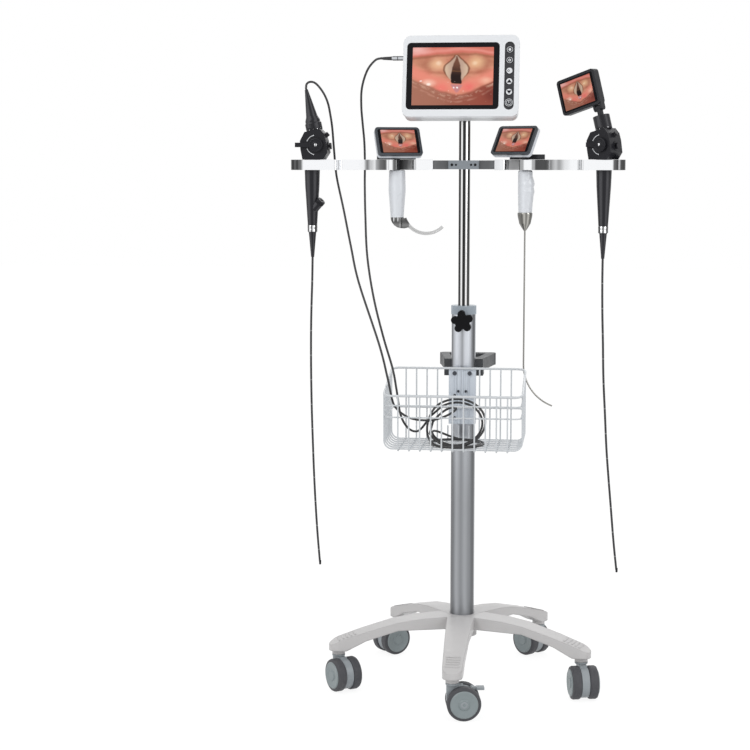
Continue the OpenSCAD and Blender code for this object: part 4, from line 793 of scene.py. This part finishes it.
# The left scope's cable, in two pieces cut where it first passes below 1.05 m
s_cut = cut(scope_path, 1.05)
scope_top = cable_piece("scope_cable_top", scope_path[:s_cut + 1], 0.0)
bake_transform(scope_top)
scope_low = cable_piece("scope_cable_low", scope_path[s_cut:], path_length(scope_path[:s_cut + 1]),
                        replaces=["cable_scope_side"])
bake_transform(scope_low)

# The monitor's cable, in three pieces cut where it first passes below 1.23 m and below 1.08 m
m_one, m_two = cut(monitor_path, 1.23), cut(monitor_path, 1.08)
monitor_top = cable_piece("monitor_cable_top", monitor_path[:m_one + 1], 0.0)
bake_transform(monitor_top)
monitor_mid = cable_piece("monitor_cable_mid", monitor_path[m_one:m_two + 1], 0.1)
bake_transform(monitor_mid)
monitor_low = cable_piece("monitor_cable_low", monitor_path[m_two:], 0.3, replaces=["cable_monitor_side"])
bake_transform(monitor_low)
cable_piece("cable_coil_wound", coil_path, 0.0, "base", ["cable_coil"])

TUBE_D, TUBE_TIP, TUBE_SEAT = 4.4, 0.0015, 48


def tube_radius(full):
    """The insertion tube's radius along its length, which narrows at the tip."""
    return lambda run: TUBE_D / 2 * MM * (1 - 0.35 * ease(full - TUBE_TIP, full, run))


TUBE_END = [(1.45, -1.2), (2.02, -1.0), (2.2, 0.2), (2.26, 7.0), (2.2, 7.4), (1.9, 7.6), (1.9, 0), (1.45, -1.2)]
a_drops = [(0, 0), (-1, 50), (-3, 110), (-4, 170), (-4, 240), (-3, 310), (-1, 380), (1, 440), (4, 505), (8, 570),
           (13, 632)]
b_drops = [(0, 0), (0, 50), (1, 110), (3, 170), (5, 240), (9, 310), (13, 380), (18, 440), (24, 505), (30, 570),
           (37, 632)]
for body, place, drops in (("scope_a", SCOPE_A, a_drops), ("scope_b", SCOPE_B, b_drops)):
    name = body + "_tube"
    top = BAR_TOP - GRIP_L - RING_H - TUBE_SEAT
    path = placed(curve([(place[0] + x, place[1], top - d) for x, d in drops]))
    length = path_length(path)
    tube = add_object(tube_mesh(name + "_sheath", path, tube_radius(length), 16), tube_black, body)
    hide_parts(name)
    end = Matrix.Translation(path[-1]) @ move(0, 0, 1.2)
    tip = add_object(turned(name + "_tip", TUBE_END, 24, end), scope_black, body)


# ---- CAD nodes' materials
def dress(material, *names):
    for n in names:
        dress_mesh(nodes[n].data, material)


dress(enamel, "star_base")
dress(zinc, "castor_stems")
dress(screw_dark, "bracket_screws")
dress(grey, *[f"castor_housing_{i}" for i in range(1, 6)], "brake_pedal")
dress(collar_grey, "column_collar")
dress(bracket_blue, "basket_bracket")
dress(column, "outer_column")
dress(pole_metal, "inner_pole")
dress(clamp_slate, "bar_clamp")
dress(cast, "monitor_yoke")
dress(dark, "push_handle")
dress(knob_black, "lock_knob")
dress(wire_white, "basket")
dress(housing, "monitor_back")
dress(border, "monitor_glass", "lary_glass", "stylet_glass", "scope_b_glass")
dress(key_black, *[f"monitor_key_{i}" for i in range(1, 7)])
dress(plug_steel, "monitor_plug")
dress(handle_white, "lary_handle", "stylet_handle")
dress(blade_steel, "lary_blade")
dress(cone_steel, "stylet_tube")
dress(screen_case, "lary_neck", "stylet_neck", "scope_b_screen", "scope_b_neck")
dress(grip_black, "scope_a_body", "scope_a_connector", "scope_b_body")
dress(scope_black, "scope_a_lever", "scope_a_valve", "scope_b_lever", "scope_b_valve")


CASTOR_REACH, CASTOR_TRAIL, AXLE_UP, CAP_OUT = 256, 21, 33, 0.0275
CASTOR_TURNS = (9, -77, 135, 220, -54)
DISC_R, TREAD_PITCH = 0.0272, 0.0032


def wheel_material(name, centre, way):
    """Castor wheels: grooved tread, shoulder and a lighter disc, told apart by the distance from the axle."""
    t = Tree(name)
    t.round_edges(0.0008)
    off = t.vector("SUBTRACT", t.coord.outputs["Object"], centre)
    side = t.size(t.dot(off, way))
    r = t.length(t.vector("CROSS_PRODUCT", off, way))
    speck = t.noise(300, 2)
    tyre = t.mix(speck, (0.05, 0.051, 0.058), (0.068, 0.069, 0.077))
    disc = t.mix(t.noise(60, 3), (0.225, 0.265, 0.275), (0.265, 0.305, 0.315))
    outer_face = t.step(side, 0.022, 0.024)
    on_disc = t.times(t.step(r, DISC_R + 0.0002, DISC_R - 0.0004), outer_face)
    base = t.mix(on_disc, tyre, disc)
    groove = t.times(t.band(r, DISC_R, 0.0007, 0.0002), outer_face)
    base = t.mix(t.times(groove, 0.7), base, (0.02, 0.02, 0.022))
    dust = t.times(t.step(t.noise(45, 4), 0.5, 0.75), t.step(r, 0.03, 0.0325))
    base = t.mix(t.times(dust, 0.12), base, (0.2, 0.195, 0.19))
    t.colour(base)
    t.put("Roughness", t.mix(on_disc, (0.62, 0.62, 0.62), (0.42, 0.42, 0.42)))
    rib = t.times(t.math("SINE", t.times(side, TURN / TREAD_PITCH)), t.step(r, 0.0318, 0.0325))
    t.bump(rib, 0.35, 0.0004)
    t.bump(t.noise(900, 3), 0.15, 0.0003)
    return t


for i, turn in enumerate(math.radians(d) for d in CASTOR_TURNS):
    a = math.radians(-90 + 72 * i)
    centre = at(CASTOR_REACH * math.cos(a) + CASTOR_TRAIL * math.cos(turn),
                CASTOR_REACH * math.sin(a) + CASTOR_TRAIL * math.sin(turn), AXLE_UP)
    way = Vector((-math.sin(turn), math.cos(turn), 0))
    dress(wheel_material(f"tyre_{i + 1}", centre, way), f"castor_wheels_{i + 1}")
    # The axle's cap on each disc of the front castor
    for k, s in enumerate((-1, 1) if i == 0 else ()):
        m = frame_of(centre + way * s * CAP_OUT, (0, 0, 1), (way * s).cross(Vector((0, 0, 1))))
        cap = [(3.2, -0.6), (3.2, 1.0), (3.6, 1.5), (6.0, 1.5), (6.6, 0.9), (6.8, -0.1), (8.2, -0.1), (8.9, 0.2),
               (9.0, -0.6), (3.2, -0.6)]
        add_object(turned(f"axle_cap_{k + 1}", cap, 40, m), grey, "wheels_1")
        end = [(0, -0.1), (1.5, -0.1), (1.6, 0.1), (3.25, 0.1), (3.25, -0.5), (0, -0.5)]
        add_object(turned(f"axle_end_{k + 1}", end, 32, m), knob_black, "wheels_1")

# ---- hanger strips
def stations(moves):
    """Places and headings along a strip, in mm and degrees: [length] runs straight and [radius, turn] bends."""
    x = y = h = 0.0
    out = []
    for m in moves:
        out.append((x, y, h))
        if len(m) == 1:
            x += m[0] * math.cos(math.radians(h))
            y += m[0] * math.sin(math.radians(h))
            continue
        arm = math.copysign(m[0], m[1])
        n = max(2, math.ceil(abs(m[1]) / BEND_STEP))
        x0, y0, h0 = x, y, math.radians(h)
        for k in range(1, n + 1):
            a = h0 + math.radians(m[1]) * k / n
            x = x0 + arm * (math.sin(a) - math.sin(h0))
            y = y0 + arm * (math.cos(h0) - math.cos(a))
            if k < n:
                out.append((x, y, math.degrees(a)))
        h += m[1]
    out.append((x, y, h))
    return out


STRIP_T, STRIP_BACK, EDGE = 2.5, 12, 0.45
HAIRPIN, HOLDER_BEND, BEND_STEP = 3.6, 28, 2.5
SPAN = 36.4 + 2 * HAIRPIN + STRIP_T


def strip_mesh(name, side):
    """The bent strip with softened long edges; side 0 is the left one, which is drawn mirrored."""
    moves = [[(33, 15)[side]], [6, 90], [SPAN - HOLDER_BEND - 6], [HOLDER_BEND, -90],
             [(70, 66)[side] - 2 * HOLDER_BEND], [HOLDER_BEND, -90], [SPAN - HOLDER_BEND - 5 - 2 * HAIRPIN],
             [5, -90], [28.5], [HAIRPIN, 180], [(35, 37)[side]], [40, 25], [40, -25], [37], [6, -80], [16.5],
             [6, 80], [(66.5, 58)[side]], [21, 180], [50], [9, 60]]
    half, low, high = STRIP_T / 2, EDGE, BAR_H - EDGE
    section = [(-half, low), (-half, high), (-half + EDGE, BAR_H), (half - EDGE, BAR_H), (half, high), (half, low),
               (half - EDGE, 0), (-half + EDGE, 0)]
    bm = bmesh.new()
    rings = []
    for x, y, h in stations(moves):
        ring = []
        for off, z in section:
            sx = (62, 60)[side] + x - off * math.sin(math.radians(h))
            sy = -STRIP_BACK - half + y + off * math.cos(math.radians(h))
            ring.append(bm.verts.new(at(sx if side else -sx, sy, BAR_LOW + z)))
        rings.append(ring)
    loft(bm, rings)
    return made(bm, name, angle=30)


for side, name in enumerate(("bar_left", "bar_right")):
    strip = add_object(strip_mesh(name + "_strip", side), chrome_strip, "pole")
    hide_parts(name)

# ---- monitor
MONITOR = Matrix.Translation(at(*MONITOR_AXIS)) @ Matrix.Rotation(-TILT, 4, "X")
MONITOR_FACE, AXIS_UP = -57, 9
KEY_X, KEY_PITCH, KEY_SUNK = 94, 21.2, 2.5


def on_monitor(x, z, proud=0.0):
    """A frame on the monitor's face: local X to the right, local Y up, local Z toward the user."""
    return MONITOR @ move(x, MONITOR_FACE - proud, z - AXIS_UP) @ spin(90, "X")


def picture_plate(name, w, h, r, matrix, material, body):
    add_object(plate(name, rounded_outline(w, h, r, 2), [(0, 0), (0.1, 0.06)], matrix), material, body)


picture = picture_material("monitor_picture", 0.0)
picture_plate("monitor_picture", 157.5, 116, 0.6, on_monitor(-15.6, -0.7, 0.02), picture, "monitor")


def front_material():
    """The bezel's white, with the keys' sunken strip in black."""
    t = moulded("monitor_front_white", (0.765, 0.785, 0.81), 0.36, 1300, 0.06, 0.015, 0.0012, 0.15)
    m = on_monitor(KEY_X, 0)
    off = t.vector("SUBTRACT", t.coord.outputs["Object"], m.translation)
    wide, tall, deep = (t.dot(off, m.to_3x3().col[k]) for k in range(3))
    inside = t.times(t.step(t.size(wide), 0.0098, 0.0096), t.step(t.size(tall), 0.0684, 0.0682))
    strip = t.times(inside, t.step(deep, -0.0004, -0.0006))
    t.colour(t.mix(strip, t.base(), t.mix(t.noise(30, 2), (0.007, 0.008, 0.012), (0.01, 0.011, 0.016))))
    return t


dress(front_material(), "monitor_front")
paint = moulded("key_print", (0.72, 0.74, 0.76), 0.4, 1500, 0.05, 0.02, 0)
strip_black = moulded("key_strip", (0.01, 0.011, 0.016), 0.3, 1500, 0.04, 0.1, 0, gloss=0.12)


def arrow(name, size, up, matrix):
    pts = [(-size, -size * 0.6), (size, -size * 0.6), (0, size * 0.8)]
    if not up:
        pts = [(x, -y) for x, y in reversed(pts)]
    return plate(name, pts, [(0, 0), (0.0, 0.1)], matrix)


# The keys' marks, from the top: two of a ring with a dot, a disc with an eye, two of a disc with an arrow, and power
PRINT = 0.12
for i in range(6):
    body, n = f"key_{i + 1}", f"key_mark_{i + 1}"
    face = on_monitor(KEY_X, KEY_PITCH * (2.5 - i), -KEY_SUNK)
    upon = face @ move(0, 0, PRINT)

    def mark(mesh, material=paint):
        add_object(mesh, material, body)

    def ring(part, outer, inner, matrix=face):
        outline = [(inner, 0), (outer, 0), (outer, PRINT), (inner, PRINT), (inner, 0)]
        return turned(n + part, outline, 48, matrix)

    if i < 2:
        mark(ring("_ring", 6.0, 5.1))
        mark(ring("_dot", 2.7, 1.2 if i else 0.01))
    elif i < 5:
        mark(turned(n + "_disc", [(0, PRINT), (5.9, PRINT), (5.9, 0), (0, 0)], 40, face))
        if i == 2:
            mark(ring("_eye", 2.2, 1.2, upon @ move(-1.8, 0, 0)), strip_black)
        else:
            mark(arrow(n + "_arrow", 4.8, i == 3, upon), strip_black)
    else:
        mark(ring("_ring", 7.6, 6.7))
        mark(ring("_inner", 5.0, 4.1))
        bar = rounded_outline(1.4, 5.2, 0.6, 4)
        mark(plate(n + "_bar", bar, [(0, 0), (0, 0.14)], face @ move(0, 1.2, 0)))


# ---- handheld screens
HAND_HINGE, HAND_LEAN, HAND_AHEAD, HAND_UP = 20, 31, 12, 32.5


def small_screen_frame(place, side, shift, low):
    """A frame in the middle of a handheld screen's face, in the CAD's own steps."""
    m = Matrix.Translation(at(*place, BAR_TOP)) @ spin(side, "Z")
    m = m @ move(0, -HAND_HINGE, low) @ spin(-HAND_LEAN, "X")
    return m @ move(shift, -HAND_AHEAD, HAND_UP) @ spin(90, "X")


def two_tone(name, front, rear, origin, normal, depth):
    """Moulded plastic in two colours that meet at a depth behind a face."""
    t = moulded(name, front, 0.34, 1500, 0.1, 0.06, 0.0012, 0.1)
    ahead = t.dot(t.vector("SUBTRACT", t.coord.outputs["Object"], origin), normal)
    behind = t.step(ahead, -depth + 0.0001, -depth - 0.0001)
    pale = t.mix(t.noise(12, 3), shade(rear, 0.96), shade(rear, 1.03))
    t.colour(t.mix(behind, t.base(), pale))
    seam = t.band(ahead, -depth, 0.0004)
    t.bump(t.times(seam, -1), 0.3, 0.0004)
    return t


hand_picture = picture_material("hand_picture", 1.7, 0.62)
for name, place, side, shift, low in (("lary", LARY, 21, 0, 2.6), ("stylet", STYLET, -32, -19, 4.6)):
    m = small_screen_frame(place, side, shift, low)
    shell = two_tone(name + "_shell", (0.05, 0.058, 0.07), (0.66, 0.69, 0.74), m.translation,
                     m.to_3x3() @ Vector((0, 0, 1)), 0.0048)
    dress(shell, name + "_screen")
    picture_plate(name + "_picture", 70, 52, 0.4, m @ move(0, 0, 0.02), hand_picture, name + "_screen")


def at_scope(i):
    """The frame of a flexible scope: its grip's axis at the holder's top, turned as the scope is."""
    x, y = (SCOPE_A, SCOPE_B)[i]
    return Matrix.Translation(at(x, y, BAR_TOP)) @ spin(SCOPE_TURN[i], "Z")


def at_control(i, x, z):
    return at_scope(i) @ move(CONTROL_SHIFT[i] + x, 0, z)


def at_nut(i):
    return at_control(i, -1, NUT_UP) @ spin(-SCOPE_LEAN[i], "Y")


def facing(matrix, y):
    """Stands a frame on a front face: local X to the right, local Y up, local Z toward the user."""
    return matrix @ move(0, y, 0) @ spin(90, "X")


b_screen = at_nut(1) @ spin(-5, "Z") @ move(-37, 8, 86.5)
picture_plate("scope_b_picture", 74, 55, 0.4, facing(b_screen, -16.02),
              picture_material("scope_picture", 3.1, 0.62), "scope_b_screen")

# ---- flexible scopes
ARC_R, ARC_W, ARC_UP, ARC_STEPS = 19.4, 1.2, 0.15, 24


def arc_mesh(name, start, end, matrix):
    """A flat printed arc with a wider dot at each end, standing just proud of a face."""
    bm = bmesh.new()
    rows = []
    for k in range(ARC_STEPS + 1):
        u = k / ARC_STEPS
        a = math.radians(start + (end - start) * u)
        half = ARC_W / 2 * (1 + 1.3 * (max(0, 1 - u * 14) + max(0, 1 - (1 - u) * 14)))
        rows.append([bm.verts.new((r * math.cos(a) / 1000, r * math.sin(a) / 1000, z / 1000))
                     for r, z in ((ARC_R - half, 0), (ARC_R + half, 0), (ARC_R + half, ARC_UP),
                                  (ARC_R - half, ARC_UP))])
    loft(bm, rows)
    return made(bm, name, matrix)


# Painted reflections by heading for the bright rings, buttons and pins of the scopes.
RING_REFLECTIONS = [(-1.0, 0.1), (-0.62, 0.12), (-0.52, 0.95), (-0.25, 0.95), (-0.16, 0.16), (0.1, 0.16), (0.2, 0.95),
       (0.5, 0.95), (0.62, 0.1), (1.0, 0.1)]
ring_metal = metal("ring_metal", (0.9, 0.91, 0.92), 0.16, (0.2, 0.2, 1), 900, 0.0, 0.04, reflection_bands=RING_REFLECTIONS)
PORT_TURN, PORT_DOWN = (-25, 122), 102
LEVER_X, LEVER_Z, PIN_R = 5, 29, 15.6
ARCS = ((102, 158), (202, 258))
# The disc under the lever's hub with its stepped cap, the bright button on it, the pins round the nut's foot, the
# bright ring at the grip's end and the grooved cap on the channel's port, open over the bore
HUB_CAP = [(0, 1.9), (5.5, 1.9), (6.6, 1.3), (7.2, 0.5), (10.2, 0.35), (10.8, 1.1), (12.6, 1.1), (13.4, 0.6),
           (13.7, 0), (0, 0)]
BUTTON = [(0, 3.1), (1.6, 2.9), (2.7, 2.4), (3.0, 1.9), (0, 1.9)]
PIN = [(0, 1.5), (0.7, 1.4), (1.1, 0.9), (1.2, 0), (0, 0)]
GRIP_RING = [(9.5, 0.6), (9.75, 0.9), (9.75, 5.6), (9.6, 6.0), (9.6, 6.6), (9.8, 7.0), (9.95, 13.0), (9.6, 13.6),
             (9.5, 13.6), (9.5, 0.6)]
PORT_CAP = [(2.15, 29.05), (2.4, 30.4), (3.4, 30.9), (7.6, 30.7), (9.2, 29.8), (9.6, 28.6), (9.6, 27.6),
            (9.15, 27.2), (9.15, 26.6), (9.6, 26.2), (9.6, 25.0), (9.15, 24.6), (9.15, 24.0), (9.6, 23.6),
            (9.6, 22.6), (9.02, 22.2), (9.02, 29.02), (2.15, 29.05)]
for i, body in enumerate(("scope_a", "scope_b")):
    face = facing(at_control(i, LEVER_X, LEVER_Z), -22.0)
    for k, (start, end) in enumerate(ARCS):
        add_object(arc_mesh(f"{body}_arc_{k + 1}", start, end, face), paint, body)
    hub = facing(at_control(i, LEVER_X, LEVER_Z), -27.4)
    add_object(turned(body + "_hub_cap", HUB_CAP, 56, hub), scope_black, body + "_lever")
    add_object(turned(body + "_hub_button", BUTTON, 32, hub), ring_metal, body + "_lever")
    for k in range(5):
        a = math.radians(-150 + 30 * k)
        spoke = Vector((math.cos(a), math.sin(a), 0))
        pin = (at_nut(i).to_3x3() @ spoke).normalized().to_track_quat("Z", "Y").to_matrix().to_4x4()
        pin.translation = at_nut(i) @ (spoke * PIN_R * MM + Vector((0, 0, 0.0016)))
        add_object(turned(f"{body}_nut_pin_{k + 1}", PIN, 20, pin), ring_metal, body)
    foot = Matrix.Translation(at(*(SCOPE_A, SCOPE_B)[i], BAR_TOP - GRIP_L - RING_H))
    add_object(turned(body + "_grip_ring", GRIP_RING, 56, foot), ring_metal, body)
    port = at_scope(i) @ spin(PORT_TURN[i], "Z") @ move(0, 0, -PORT_DOWN) @ spin(45, "Y")
    add_object(turned(body + "_port_cap", PORT_CAP, 48, port), scope_black, body)

# ---- stage and light
def seen_rays(tree):
    """1 for rays that the camera sees, straight or mirrored."""
    rays = tree.nodes.new("ShaderNodeLightPath")
    either = tree.nodes.new("ShaderNodeMath")
    either.operation = "MAXIMUM"
    tree.links.new(rays.outputs["Is Camera Ray"], either.inputs[0])
    tree.links.new(rays.outputs["Is Glossy Ray"], either.inputs[1])
    return either.outputs[0]


floor_mesh = bpy.data.meshes.new("floor")
bm = bmesh.new()
bmesh.ops.create_grid(bm, x_segments=2, y_segments=2, size=14)
bm.to_mesh(floor_mesh)
bm.free()
floor = bpy.data.objects.new("floor", floor_mesh)
floor.location = (0, 0, -0.0005)
collection.objects.link(floor)
floor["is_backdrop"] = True
ft = Tree("pale_floor")
ft.colour(ft.mix(ft.noise(3, 3), (0.82, 0.82, 0.82), (0.84, 0.84, 0.84)))
ft.put("Roughness", 0.8)
ft.put("Specular IOR Level", 0.1)
white = ft.node("Emission", {"Strength": 1.12})
share = ft.times(seen_rays(ft.tree), 0.8)
blend = ft.node("MixShader", {0: share, 1: ft.shader.outputs[0], 2: white.outputs[0]})
ft.link(blend.outputs[0], ft.tree.nodes["Material Output"].inputs["Surface"])
floor_mesh.materials.append(ft.mat)

world = bpy.data.worlds.new("studio")
bpy.context.scene.world = world
world.use_nodes = True
wt = world.node_tree
background = wt.nodes["Background"]
mix = wt.nodes.new("ShaderNodeMix")
mix.data_type = "FLOAT"
wt.links.new(seen_rays(wt), mix.inputs[0])
mix.inputs[2].default_value = 0.68
mix.inputs[3].default_value = 1.0
wt.links.new(mix.outputs[0], background.inputs["Strength"])
background.inputs["Color"].default_value = (1, 1, 1, 1)


LAMP_AIM = Vector((0, 0, 0.7))


def lamp(name, place, size, power):
    data = bpy.data.lights.new(name, "AREA")
    data.shape = "RECTANGLE"
    data.size, data.size_y = size
    data.energy = power
    obj = bpy.data.objects.new(name, data)
    obj.location = place
    obj.rotation_mode = "QUATERNION"
    obj.rotation_quaternion = (LAMP_AIM - Vector(place)).to_track_quat("-Z", "Y")
    collection.objects.link(obj)


lamp("key_light", (-2.2, -2.6, 3.0), (1.6, 2.2), 42)
lamp("fill_light", (2.8, -1.8, 2.0), (1.4, 2.4), 26)
lamp("back_light", (0.4, 2.8, 2.6), (2.4, 1.4), 20)

bpy.context.scene.view_settings.view_transform = "Standard"

low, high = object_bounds()
